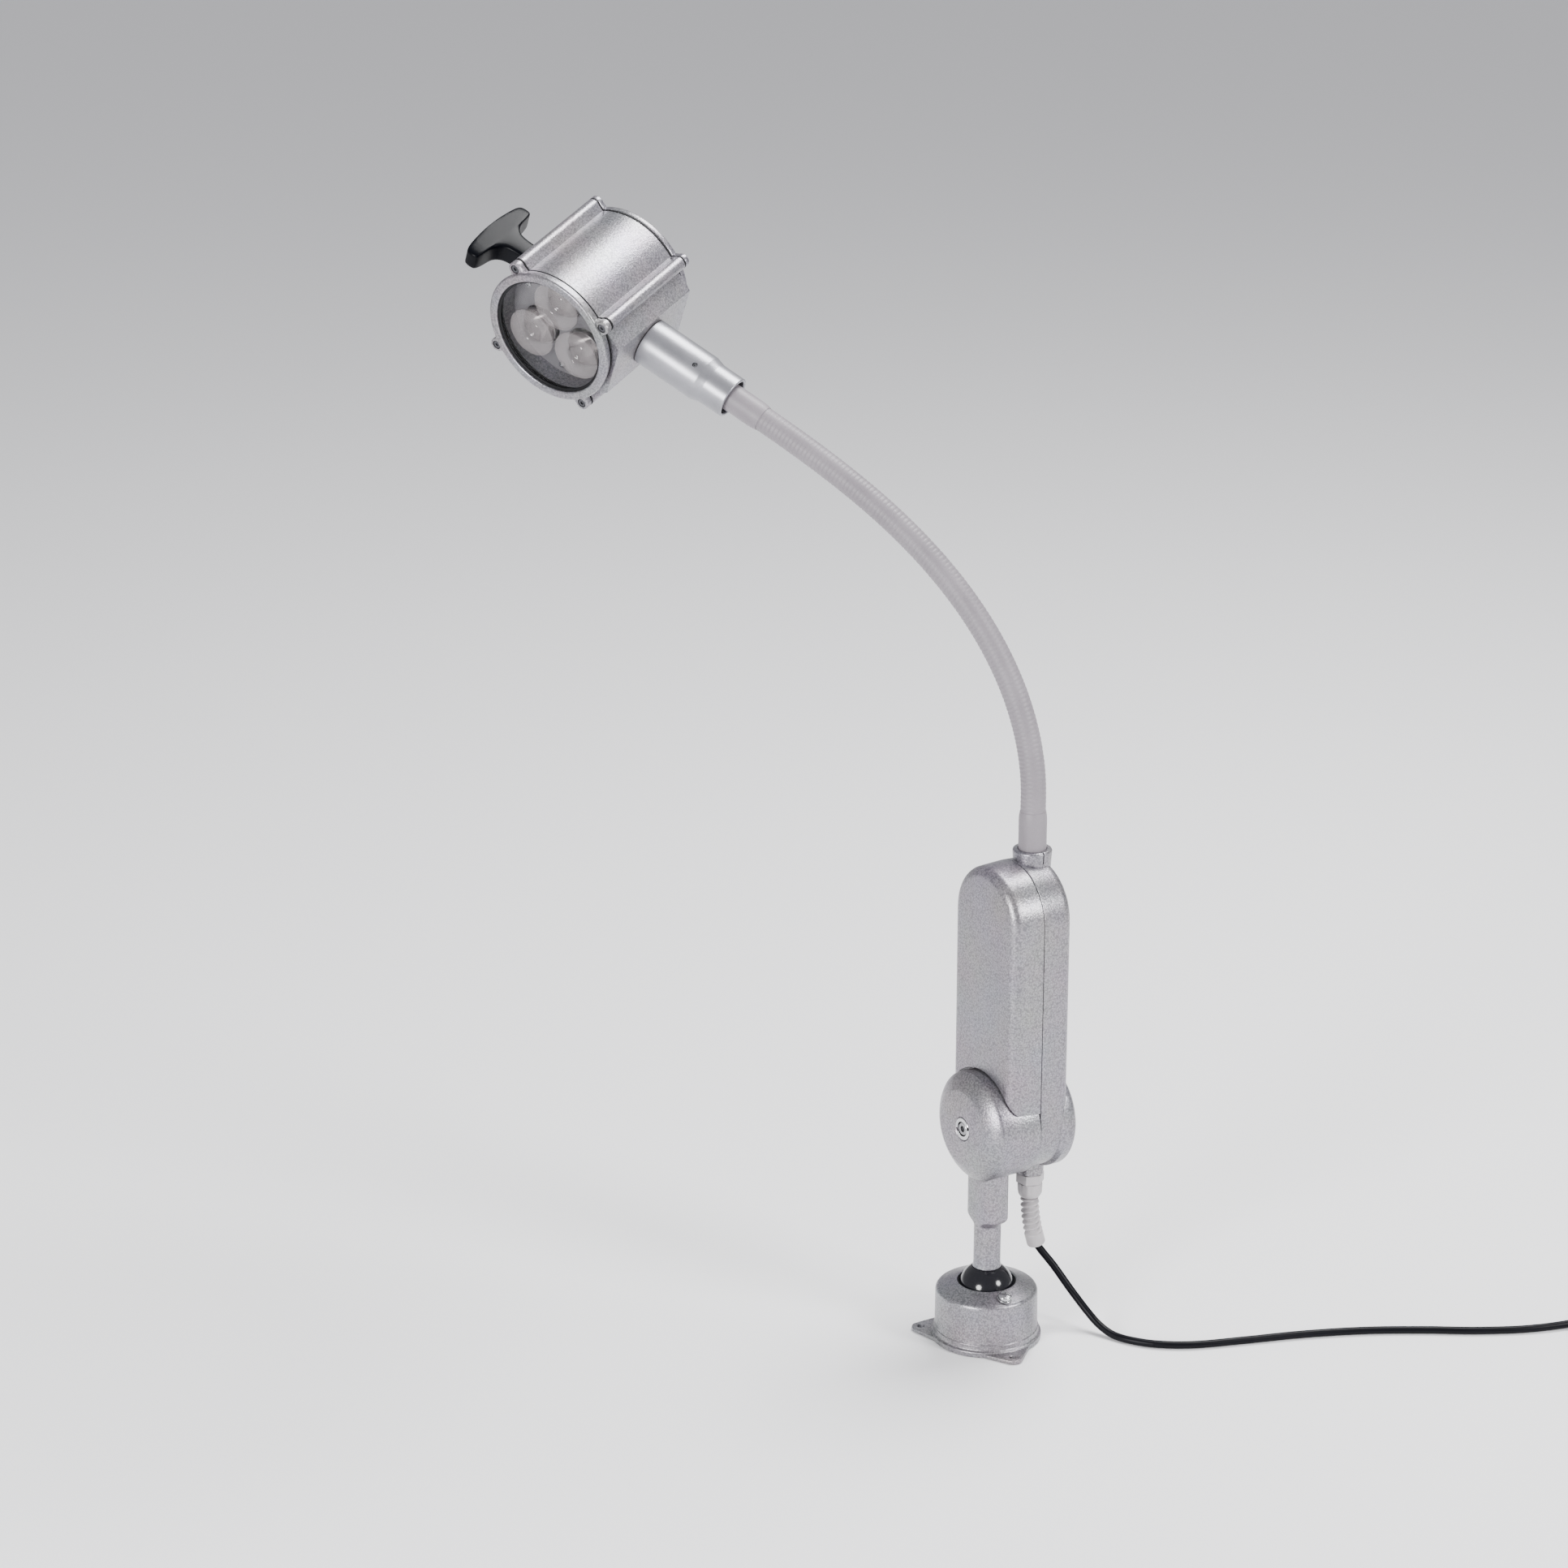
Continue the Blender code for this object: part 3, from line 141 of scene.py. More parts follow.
# Head
HEAD_ROLL = math.radians(-112.2)
HEAD_FRONT = 53.8
HEAD_BACK = -51.0
BODY_R = 51.0
BODY_BORE_R = 46.5
BODY_FRONT = 45.0
BODY_BACK = -44.0
RIB_RADIUS = 56.0
RIB_R = 5.3
PAD_X = -54.0
PAD_HALF = 22.0
BEZEL_R = 52.6
BEZEL_INNER_R = 45.6
LENS_R = 19.2
LENS_REACH = 23.3
LENS_FIRST_ANGLE = math.radians(-80.4)
PLATE_FACE = 32.0
PLATE_SCREW_REACH = 39.0
GLASS_R = 47.0
GLASS_BACK = 48.2
GLASS_FRONT = 50.2
NECK_WAY_R = 7.3
GASKET_T = 1.0
TIE_R = 2.0

# Cord
CORD_R = 2.9
FLOOR_Z = CORD_R + 0.05
COIL_MEAN_R = 33.4
COIL_LIFT = 1.0
LEAD_LENGTHS = (48.0, 37.0, 37.0, 40.0)  # the stretches cut from the lead by the lamp
COIL_CENTRE = (228.0 + COIL_MEAN_R + 2.0 * CORD_R, 416.0)
CORD_ROUTE = [
    (0.0, 44.9, 66.5), (0.4, 45.6, 62.4), (3.5, 49.5, 55.5), (9.0, 55.5, 45.5), (21.0, 63.2, 28.4),
    (35.0, 69.0, 14.4), (46.0, 72.2, 7.2), (58.0, 76.0, FLOOR_Z + 0.4), (72.0, 82.5, FLOOR_Z),
    (88.0, 96.0, FLOOR_Z), (103.0, 119.0, FLOOR_Z), (117.0, 156.0, FLOOR_Z), (132.0, 198.0, FLOOR_Z),
    (151.0, 240.0, FLOOR_Z), (174.0, 279.0, FLOOR_Z), (196.0, 312.0, FLOOR_Z), (214.0, 346.0, FLOOR_Z),
    (225.0, 378.0, FLOOR_Z + 0.5), (228.0, 394.0, FLOOR_Z + COIL_LIFT)]
TAIL_Y = COIL_CENTRE[1] + COIL_MEAN_R + 2.0 * CORD_R
TAIL_X = COIL_CENTRE[0] + 23.5
CORD_TAIL = [(TAIL_X, TAIL_Y, FLOOR_Z + COIL_LIFT + 2.0 * CORD_R), (TAIL_X + 14.0, TAIL_Y + 1.5, 7.6),
             (TAIL_X + 28.0, TAIL_Y + 4.0, 6.2), (TAIL_X + 43.5, TAIL_Y + 6.8, 6.6)]

# Camera: how it stands from the base, and its lens
CAMERA_AZIMUTH = math.radians(58.0)
CAMERA_ELEVATION = math.radians(19.0)
CAMERA_DISTANCE = 3172.0
CAMERA_SIDE = -151.5
CAMERA_RISE = 413.0
CAMERA_LENS = 96.9

# Studio: each light's name, place, width and power in watts
LIGHTS = (("key", (900.0, -2300.0, 900.0), 900.0, 80.0),
          ("side", (2300.0, 1100.0, 1500.0), 900.0, 80.0),
          ("top", (-300.0, 900.0, 2600.0), 1300.0, 110.0))
LIGHT_AIM = (-60.0, -30.0, 380.0)
WORLD_STRENGTH = 0.62
FLOOR_HALF = 9000.0  # the floor runs past the camera's view
FLOOR_DROP = 0.2

# Hammertone paint: tones, and how many cells of each pattern lie in a metre
PAINT_HIGH = (0.42, 0.405, 0.43, 1.0)
PAINT_HOLLOW = (0.19, 0.182, 0.20, 1.0)
PEBBLES = 760.0
PEBBLE_WARPS = 420.0
PEBBLE_WARP = 1.6 * MM
DUST = 1500.0
CLOUDS = 26.0
PEBBLE_DEPTH = 0.16 * MM


# Mesh helpers
def at(x=0.0, y=0.0, z=0.0):
    return Matrix.Translation((x, y, z))


def along_y(y=0.0, z=0.0):
    """A frame whose Z axis is the world's +Y."""
    return at(0.0, y, z) @ Matrix.Rotation(-math.pi / 2.0, 4, "X")


def along_x(x=0.0):
    """A frame whose Z axis is +X of the frame it sits in."""
    return at(x) @ Matrix.Rotation(math.pi / 2.0, 4, "Y")


def on_circle(radius, degrees):
    return (radius * math.cos(math.radians(degrees)), radius * math.sin(math.radians(degrees)))


def arc(centre, radius, start, end, steps):
    """Points on an arc, angles in degrees."""
    points = []
    for i in range(steps + 1):
        angle = math.radians(start + (end - start) * i / steps)
        points.append((centre[0] + radius * math.cos(angle), centre[1] + radius * math.sin(angle)))
    return points


def to_object(name, mesh_edit, place):
    """A bmesh in millimetres, moved by place, as an object in metres."""
    bmesh.ops.transform(mesh_edit, matrix=place, verts=mesh_edit.verts)
    bmesh.ops.recalc_face_normals(mesh_edit, faces=mesh_edit.faces)
    bmesh.ops.scale(mesh_edit, vec=(MM, MM, MM), verts=mesh_edit.verts)
    mesh = bpy.data.meshes.new(name)
    mesh_edit.to_mesh(mesh)
    mesh_edit.free()
    piece = bpy.data.objects.new(name, mesh)
    bpy.context.scene.collection.objects.link(piece)
    return piece


def turned(name, outline, place=Matrix.Identity(4), sides=96):
    """Spin an (r, z) outline about Z. An outline that starts and ends on the axis stays open there."""
    mesh_edit = bmesh.new()
    corners = [mesh_edit.verts.new((r, 0.0, z)) for r, z in outline]
    pairs = list(zip(corners, corners[1:]))
    if outline[0][0] > 0.0 or outline[-1][0] > 0.0:
        pairs.append((corners[-1], corners[0]))
    edges = [mesh_edit.edges.new(pair) for pair in pairs]
    bmesh.ops.spin(mesh_edit, geom=corners + edges, cent=(0, 0, 0), axis=(0, 0, 1), angle=TURN, steps=sides,
                   use_merge=True)
    bmesh.ops.remove_doubles(mesh_edit, verts=mesh_edit.verts, dist=0.0005)
    return to_object(name, mesh_edit, place)


def rod(radius, low, high, edge=0.0):
    """The (r, z) outline of a solid rod, with its rim edges eased by edge."""
    if edge <= 0.0:
        return [(0.0, low), (radius, low), (radius, high), (0.0, high)]
    return [(0.0, low), (radius - edge, low), (radius, low + edge), (radius, high - edge),
            (radius - edge, high), (0.0, high)]


def loft(name, rings, place=Matrix.Identity(4)):
    """Skin rings of 3-D points and close both ends."""
    mesh_edit = bmesh.new()
    rows = [[mesh_edit.verts.new(point) for point in ring] for ring in rings]
    for lower, upper in zip(rows, rows[1:]):
        for i in range(len(lower)):
            j = (i + 1) % len(lower)
            mesh_edit.faces.new((lower[i], lower[j], upper[j], upper[i]))
    mesh_edit.faces.new(rows[0])
    mesh_edit.faces.new(rows[-1])
    return to_object(name, mesh_edit, place)


def lifted(outline, z):
    return [(x, y, z) for x, y in outline]


def prism(name, outline, low, high, place=Matrix.Identity(4), edge=0.0):
    """Extrude an (x, y) outline, with its rim edges eased by edge."""
    if edge <= 0.0:
        return loft(name, [lifted(outline, low), lifted(outline, high)], place)
    small = shrink(outline, edge)
    half = shrink(outline, 0.3 * edge)
    rings = [lifted(small, low), lifted(half, low + 0.3 * edge), lifted(outline, low + edge),
             lifted(outline, high - edge), lifted(half, high - 0.3 * edge), lifted(small, high)]
    return loft(name, rings, place)


def shrink(outline, amount):
    """Move each corner in along the mean of its two edges' normals."""
    area = sum(a[0] * b[1] - b[0] * a[1] for a, b in zip(outline, outline[1:] + outline[:1]))
    inward = 1.0 if area > 0.0 else -1.0
    points = []
    for before, here, after in zip(outline[-1:] + outline[:-1], outline, outline[1:] + outline[:1]):
        first = Vector((here[0] - before[0], here[1] - before[1])).normalized()
        second = Vector((after[0] - here[0], after[1] - here[1])).normalized()
        mean = Vector((-first.y - second.y, first.x + second.x)) * inward
        mean.normalize()
        points.append((here[0] + mean.x * amount, here[1] + mean.y * amount))
    return points


def box_outline(half_x, half_y, corner, steps=8):
    """A rectangle with round corners."""
    points = []
    for quarter, (sx, sy) in enumerate(((1, 1), (-1, 1), (-1, -1), (1, -1))):
        centre = (sx * (half_x - corner), sy * (half_y - corner))
        points += arc(centre, corner, 90.0 * quarter, 90.0 * quarter + 90.0, steps)
    return points


def bar_outline(half_x, half_y):
    return [(-half_x, -half_y), (half_x, -half_y), (half_x, half_y), (-half_x, half_y)]


def polygon(radius, sides, turn=0.0):
    return [(radius * math.cos(turn + TURN * i / sides), radius * math.sin(turn + TURN * i / sides))
            for i in range(sides)]


def carve(piece, tools, operation="DIFFERENCE"):
    """Apply Booleans at once, and remove the tools."""
    for tool in tools:
        step = piece.modifiers.new("step", "BOOLEAN")
        step.operation = operation
        step.object = tool
        step.solver = "EXACT"
    bpy.context.view_layer.update()
    shape = bpy.data.meshes.new_from_object(piece.evaluated_get(bpy.context.evaluated_depsgraph_get()))
    old = piece.data
    piece.modifiers.clear()
    piece.data = shape
    bpy.data.meshes.remove(old)
    for tool in tools:
        bpy.data.objects.remove(tool, do_unlink=True)
    return piece


def sweep_rings(points, radii, sides):
    """Rings square to a line of points, each turned as little as possible from the last."""
    rings = []
    across = Vector((1.0, 0.0, 0.0))
    for i, (point, radius) in enumerate(zip(points, radii)):
        ahead = Vector(points[min(i + 1, len(points) - 1)]) - Vector(points[max(i - 1, 0)])
        ahead.normalize()
        across = (across - ahead * across.dot(ahead)).normalized()
        side = ahead.cross(across)
        rings.append([Vector(point) + radius * (math.cos(TURN * k / sides) * across
                                                + math.sin(TURN * k / sides) * side) for k in range(sides)])
    return rings


def finish_piece(piece, looks, slot, body=None, nodes=(), smooth=32.0, place=None, look=None):
    """Place a carved piece, dress and shade it, hide the CAD nodes it stands for, and hang it on the body it
    rides on.

    It wears its slot's own look unless another is named.
    """
    mesh = piece.data
    if place:
        in_metres = place.copy()
        in_metres.translation = place.translation * MM
        mesh.transform(in_metres)
    mesh.materials.clear()
    mesh.materials.append(looks[look or slot])
    mesh.polygons.foreach_set("material_index", [0] * len(mesh.polygons))
    mesh.shade_smooth()
    mesh.set_sharp_from_angle(angle=math.radians(smooth))
    if nodes:
        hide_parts(*nodes)
    if body:
        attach(piece, body)
    return piece


# Materials
def link(tree, a, a_socket, b, b_socket):
    tree.links.new(a.outputs[a_socket], b.inputs[b_socket])


def new_look(name):
    """A node material: itself, its tree, its shader and its object coordinates."""
    made = bpy.data.materials.new(name)
    made.use_nodes = True
    tree = made.node_tree
    return made, tree, tree.nodes["Principled BSDF"], tree.nodes.new("ShaderNodeTexCoord")


def noise(tree, where, scale, detail):
    made = tree.nodes.new("ShaderNodeTexNoise")
    made.inputs["Scale"].default_value = scale
    made.inputs["Detail"].default_value = detail
    link(tree, where, "Object", made, "Vector")
    return made


def uneven_gloss(tree, source, socket, shader, rough):
    """Roughness between rough's two values, after a pattern."""
    gloss = tree.nodes.new("ShaderNodeMapRange")
    gloss.inputs["To Min"].default_value = rough[0]
    gloss.inputs["To Max"].default_value = rough[1]
    link(tree, source, socket, gloss, "Value")
    link(tree, gloss, "Result", shader, "Roughness")


def mixed(tree, a, a_socket, b, b_socket, share):
    both = tree.nodes.new("ShaderNodeMix")
    both.inputs["Factor"].default_value = share
    link(tree, a, a_socket, both, "A")
    link(tree, b, b_socket, both, "B")
    return both


def two_tones(tree, source, first, second):
    """A ramp between two tones, each a position and a colour."""
    tone = tree.nodes.new("ShaderNodeValToRGB")
    for element, (position, colour) in zip(tone.color_ramp.elements, (first, second)):
        element.position = position
        element.color = colour
    link(tree, source, "Result", tone, "Fac")
    return tone


def surface(name, dark, light, metallic, rough, grain_mm, relief_mm, mottle_mm=14.0, **fixed):
    """A metal, plastic or rubber: two close tones in soft patches, uneven gloss and a fine raised grain."""
    made, tree, shader, where = new_look(name)
    shader.inputs["Metallic"].default_value = metallic
    for socket, value in fixed.items():
        shader.inputs[socket.replace("_", " ")].default_value = value
    mottle = noise(tree, where, 1.0 / (mottle_mm * MM), 3.0)
    grain = noise(tree, where, 1.0 / (grain_mm * MM), 2.0)
    both = mixed(tree, mottle, "Fac", grain, "Fac", 0.45)
    tone = two_tones(tree, both, (0.32, (*dark, 1.0)), (0.68, (*light, 1.0)))
    link(tree, tone, "Color", shader, "Base Color")
    uneven_gloss(tree, both, "Result", shader, rough)
    relief = tree.nodes.new("ShaderNodeBump")
    relief.inputs["Distance"].default_value = relief_mm * MM
    relief.inputs["Strength"].default_value = 1.0
    link(tree, grain, "Fac", relief, "Height")
    link(tree, relief, "Normal", shader, "Normal")
    return made


def hammertone():
    """Silver-grey powder coat: a fine pebbled skin with darker hollows and a soft metallic sheen."""
    made, tree, shader, where = new_look("look_hammertone")
    shader.inputs["Metallic"].default_value = 0.8
    warp = noise(tree, where, PEBBLE_WARPS, 1.0)
    bend = tree.nodes.new("ShaderNodeVectorMath")
    bend.operation = "MULTIPLY_ADD"
    bend.inputs[1].default_value = (PEBBLE_WARP, PEBBLE_WARP, PEBBLE_WARP)
    link(tree, warp, "Color", bend, 0)
    link(tree, where, "Object", bend, 2)
    pebble = tree.nodes.new("ShaderNodeTexVoronoi")
    pebble.feature = "SMOOTH_F1"
    pebble.inputs["Scale"].default_value = PEBBLES
    pebble.inputs["Smoothness"].default_value = 0.7
    link(tree, bend, "Vector", pebble, "Vector")
    dust = noise(tree, where, DUST, 2.0)
    cloud = noise(tree, where, CLOUDS, 3.0)
    skin = mixed(tree, pebble, "Distance", dust, "Fac", 0.45)
    tone = two_tones(tree, skin, (0.22, PAINT_HIGH), (0.62, PAINT_HOLLOW))
    shade = tree.nodes.new("ShaderNodeMix")
    shade.data_type = "RGBA"
    shade.blend_type = "MULTIPLY"
    shade.inputs["Factor"].default_value = 0.22
    link(tree, tone, "Color", shade, 6)
    link(tree, cloud, "Color", shade, 7)
    link(tree, shade, 2, shader, "Base Color")
    uneven_gloss(tree, cloud, "Fac", shader, (0.27, 0.42))
    relief = tree.nodes.new("ShaderNodeBump")
    relief.invert = True
    relief.inputs["Distance"].default_value = PEBBLE_DEPTH
    link(tree, skin, "Result", relief, "Height")
    link(tree, relief, "Normal", shader, "Normal")
    return made


def clear(name, colour, rough, alpha, transmission, ior):
    """Glass or acrylic, with a faint film of dust that dulls it in patches."""
    made, tree, shader, where = new_look(name)
    shader.inputs["Base Color"].default_value = (*colour, 1.0)
    shader.inputs["Transmission Weight"].default_value = transmission
    shader.inputs["IOR"].default_value = ior
    shader.inputs["Alpha"].default_value = alpha
    uneven_gloss(tree, noise(tree, where, 90.0, 2.0), "Fac", shader, rough)
    return made


def all_materials():
    """One look to each slot, and three more for pieces that share a slot."""
    return {
        "hammertone": hammertone(),
        "satin_aluminium": surface("look_satin_aluminium", (0.235, 0.235, 0.255), (0.30, 0.30, 0.325), 0.75,
                                   (0.30, 0.40), 0.5, 0.02),
        "steel": surface("look_steel", (0.24, 0.24, 0.25), (0.36, 0.36, 0.37), 1.0, (0.22, 0.36), 0.6, 0.02),
        "zinc": surface("look_zinc", (0.46, 0.46, 0.47), (0.62, 0.62, 0.63), 1.0, (0.16, 0.30), 0.8, 0.02),
        "brass": surface("look_brass", (0.52, 0.38, 0.14), (0.66, 0.50, 0.22), 1.0, (0.2, 0.34), 0.8, 0.02),
        "gloss_black": surface("look_gloss_black", (0.003, 0.003, 0.005), (0.006, 0.006, 0.009), 0.0,
                               (0.10, 0.16), 2.5, 0.004),
        "black_plastic": surface("look_black_plastic", (0.0008, 0.001, 0.002), (0.0016, 0.002, 0.004), 0.0,
                                 (0.26, 0.34), 0.5, 0.01, Specular_IOR_Level=0.08),
        "black_rubber": surface("look_black_rubber", (0.004, 0.004, 0.005), (0.008, 0.008, 0.009), 0.0,
                                (0.55, 0.70), 0.6, 0.03, Specular_IOR_Level=0.2),
        "grey_sheath": surface("look_grey_sheath", (0.165, 0.148, 0.165), (0.215, 0.195, 0.215), 0.0,
                               (0.42, 0.55), 0.7, 0.03, 30.0),
        "gland_grey": surface("look_gland_grey", (0.32, 0.30, 0.31), (0.40, 0.38, 0.39), 0.0, (0.40, 0.52),
                              0.6, 0.02),
        "clear_glass": clear("look_clear_glass", (0.20, 0.20, 0.21), (0.01, 0.03), 0.03, 0.0, 1.5),
        "lens_acrylic": clear("look_lens_acrylic", (0.34, 0.31, 0.315), (0.02, 0.06), 0.30, 0.0, 1.49),
        "dark_steel": surface("look_dark_steel", (0.05, 0.05, 0.055), (0.11, 0.11, 0.12), 0.9,
                              (0.30, 0.44), 0.6, 0.02),
        # The lens plate's grey, made darker and duller than satin aluminium: painted shade of the head's deep
        # interior
        "plate_painted_shade": surface("look_plate_painted_shade", (0.115, 0.11, 0.12), (0.175, 0.17, 0.18), 0.3, (0.42, 0.55),
                              0.7, 0.03),
        "reflector": surface("look_reflector", (0.36, 0.34, 0.34), (0.55, 0.52, 0.52), 0.9, (0.10, 0.26),
                             2.0, 0.05),
        "white_board": surface("look_white_board", (0.70, 0.70, 0.67), (0.80, 0.80, 0.77), 0.0, (0.4, 0.5),
                               0.8, 0.02),
        "cord_black": surface("look_cord_black", (0.001, 0.001, 0.002), (0.002, 0.002, 0.004), 0.0,
                              (0.34, 0.44), 0.7, 0.01, Specular_IOR_Level=0.12),
    }


# Base
def cup_outline():
    points = [(36.3, 0.0), (FLANGE_R - 0.5, 0.0), (FLANGE_R, 0.5)]
    points += arc((FLANGE_R - 1.1, 3.3), 1.1, 0.0, 90.0, 5)
    points += [(39.7, 4.8), (39.4, 5.4), (39.4, 8.4)]
    points += arc((38.4, 8.4), 1.0, 10.0, 70.0, 4)
    points += [(CUP_R - 0.1, 10.2), (CUP_R - 0.3, 36.6)]
    points += arc((CUP_R - 4.3, 37.0), 4.0, 8.0, 70.0, 8)
    points += [(OPENING_R + 2.2, CUP_TOP - 0.25)]
    points += arc((OPENING_R + 1.2, CUP_TOP - 1.2), 1.2, 70.0, 180.0, 6)
    points += [(OPENING_R, 43.0), (33.0, 37.2), (33.0, 3.7), (36.3, 3.7)]
    return points


def ear_outline():
    """A lug whose straight sides run from its round tip back into the flange."""
    root = FLANGE_R - 2.5
    tip = arc((EAR_REACH, 0.0), EAR_TIP_R, -52.0, 52.0, 16)
    return [on_circle(root, -EAR_SPREAD)] + tip + [on_circle(root, EAR_SPREAD)]


def make_base(looks):
    """The cup with its three ears, and the clamp screw and washer on its sloping top."""
    cup = turned("base_cup_look", cup_outline(), sides=128)
    ears = []
    holes = []
    for i, angle in enumerate(EAR_ANGLES):
        turn = Matrix.Rotation(math.radians(angle), 4, "Z")
        ear = prism("ear_%d" % i, ear_outline(), 0.02, EAR_T, turn, 0.9)
        carve(ear, [turned("ear_bore_%d" % i, rod(EAR_BORE_R, -2.0, EAR_T + 2.0), sides=128)])
        ears.append(ear)
        hole = [(0.0, -2.0), (EAR_HOLE_R, -2.0), (EAR_HOLE_R, 2.6), (3.3, 3.4), (0.0, 3.6)]
        holes.append(turned("ear_hole_%d" % i, hole, turn @ at(EAR_REACH), 32))
    carve(cup, ears, "UNION")
    reach, angle, height = CLAMP_SCREW
    spot = Matrix.Rotation(math.radians(angle), 4, "Z") @ at(reach, 0.0, height)
    spot = spot @ Matrix.Rotation(math.atan2(CUP_TOP - CUP_RIM, CLAMP_SLOPE_RUN), 4, "Y")
    holes.append(turned("clamp_hole", rod(2.3, -12.0, 8.0), spot, 24))
    carve(cup, holes)
    finish_piece(cup, looks, "hammertone", "base", ["base_cup"])

    flat_ring = [(2.4, 0.3), (5.4, 0.3), (5.6, 0.5), (5.6, 1.0), (5.4, 1.2), (2.4, 1.2)]
    washer = turned("clamp_washer_look", flat_ring, spot, 48)
    finish_piece(washer, looks, "zinc", "base", ["clamp_washer"])
    head = [(0.0, -3.4), (1.9, -3.4), (1.9, 1.4), (4.6, 1.4), (4.9, 1.7)] + arc((3.4, 2.6), 1.6, 0.0, 80.0, 5)
    screw = turned("clamp_screw_look", head + [(0.0, 4.3)], spot, 48)
    slot_turn = Matrix.Rotation(CLAMP_SLOT_ANGLE, 4, "Z")
    cross_turn = Matrix.Rotation(CLAMP_SLOT_ANGLE + math.pi / 2.0, 4, "Z")
    carve(screw, [prism("groove", bar_outline(8.0, 0.6), 2.9, 8.0, spot @ slot_turn),
                  prism("cross", bar_outline(2.2, 0.6), 2.6, 8.0, spot @ cross_turn)])
    finish_piece(screw, looks, "zinc", "base", ["clamp_screw"])


def make_ball(looks):
    """The ball with its top cut flat round the stem, and the seat ring that grips it."""
    top = BALL_TOP - BALL_Z
    high = math.degrees(math.asin(top / BALL_R))
    outline = [(0.0, -BALL_R)]
    outline += [on_circle(BALL_R, -90.0 + (high + 90.0) * i / 40) for i in range(1, 41)]
    outline += [(BALL_BORE_R, top), (BALL_BORE_R, 2.0), (0.0, 2.0)]
    ball = turned("ball_look", outline, at(0, 0, BALL_Z), 96)
    finish_piece(ball, looks, "gloss_black", "ball", ["ball"])
    lip = [(32.6, 27.0), (32.6, 36.8), (SEAT_R, 42.6), (SEAT_R, 44.3)]
    lip += [(math.sqrt(SEAT_R ** 2 - (z - BALL_Z) ** 2), z) for z in (44.5, 43.0, 40.0, 35.0, 31.0, 27.0)]
    ring = turned("seat_ring_look", lip, sides=96)
    finish_piece(ring, looks, "black_plastic", "swivel", ["seat_ring"])


# Stem and elbow
def disc_edge(shoulder, face_y, face_r, steps=12):
    """The disc's bevel from its rim in to the flat face, slightly crowned."""
    out = 1.0 if face_y > shoulder else -1.0
    points = []
    for i in range(steps + 1):
        share = i / steps
        crown = 1.25 * math.sin(math.pi * share ** 0.8) ** 0.8
        points.append((DISC_R + (face_r - DISC_R) * share + crown * 0.6,
                       shoulder + (face_y - shoulder) * share + out * crown * 0.8))
    return points


def make_stem(looks):
    """Round stem, oval column and hinge disc in one casting, with the hinge's ring nut and bolt."""
    low = BALL_TOP + 0.3
    shaft = [(BALL_BORE_R, low), (10.5, low), (10.7, low + 0.5), (STEM_R, low + 3.2), (STEM_R, 95.0),
             (BALL_BORE_R, 95.0)]
    stem = turned("stem_look", shaft, sides=96)
    rings = []
    for i in range(9):
        share = 0.5 - 0.5 * math.cos(math.pi * i / 8)
        z = COLUMN_FLARE_Z + (COLUMN_Z + 1.5 - COLUMN_FLARE_Z) * i / 8
        half = [(STEM_R + 0.03) * (1.0 - share) + side * share for side in COLUMN_HALF]
        corner = (STEM_R + 0.02) * (1.0 - share) + COLUMN_CORNER * share
        rings.append(lifted(box_outline(half[0], half[1], corner, 12), z))
    rings.append(lifted(box_outline(*COLUMN_HALF, COLUMN_CORNER, 12), 138.0))
    column = loft("column", rings)
    face = [(5.4, SEAM_Y - 0.3), (DISC_R - 0.8, SEAM_Y - 0.3), (DISC_R, SEAM_Y - 1.0)]
    face += disc_edge(DISC_SHOULDER, DISC_BACK, DISC_FACE_R)
    face += [(9.4, DISC_BACK), (8.8, DISC_BACK + 0.6), (8.8, DISC_BACK + 4.5), (5.4, DISC_BACK + 4.5)]
    disc = turned("disc", face, along_y(0.0, HINGE_Z), 128)
    carve(stem, [column, disc], "UNION")
    finish_piece(stem, looks, "hammertone", "stem", ["stem"])

    hinge = along_y(0.0, HINGE_Z)
    nut = [(5.7, DISC_BACK - 0.1), (RING_NUT_R - 0.3, DISC_BACK - 0.1), (RING_NUT_R, DISC_BACK + 0.2),
           (RING_NUT_R, DISC_BACK + 4.2), (5.7, DISC_BACK + 4.2)]
    ring = turned("ring_nut_look", nut, hinge, 64)
    turn = Matrix.Rotation(RING_NUT_ANGLE, 4, "Z")
    carve(ring, [prism("notch", bar_outline(12.0, 1.4), DISC_BACK - 3.0, DISC_BACK + 1.8, hinge @ turn)])
    finish_piece(ring, looks, "zinc", "stem", ["ring_nut"])
    bolt = turned("hinge_bolt_look", rod(BOLT_R, DISC_BACK + 0.3, 50.5, 0.5), hinge, 48)
    carve(bolt, [prism("socket", polygon(2.7, 6), DISC_BACK - 2.0, DISC_BACK + 3.4, hinge)])
    finish_piece(bolt, looks, "steel", "stem", ["hinge_bolt"])


# Arm housing
def arm_section(half, y, low_round, steps):
    """The housing's outline at one depth: an arch on top, and below the hinge a round or a straight end."""
    points = [(half * math.cos(math.pi * i / steps), y, ARM_ARCH_Z + half * math.sin(math.pi * i / steps))
              for i in range(steps + 1)]
    if low_round:
        points += [(-half * math.cos(math.pi * i / steps), y, HINGE_Z - half * math.sin(math.pi * i / steps))
                   for i in range(steps + 1)]
    else:
        points += [(-half, y, HINGE_Z), (half, y, HINGE_Z)]
    return points


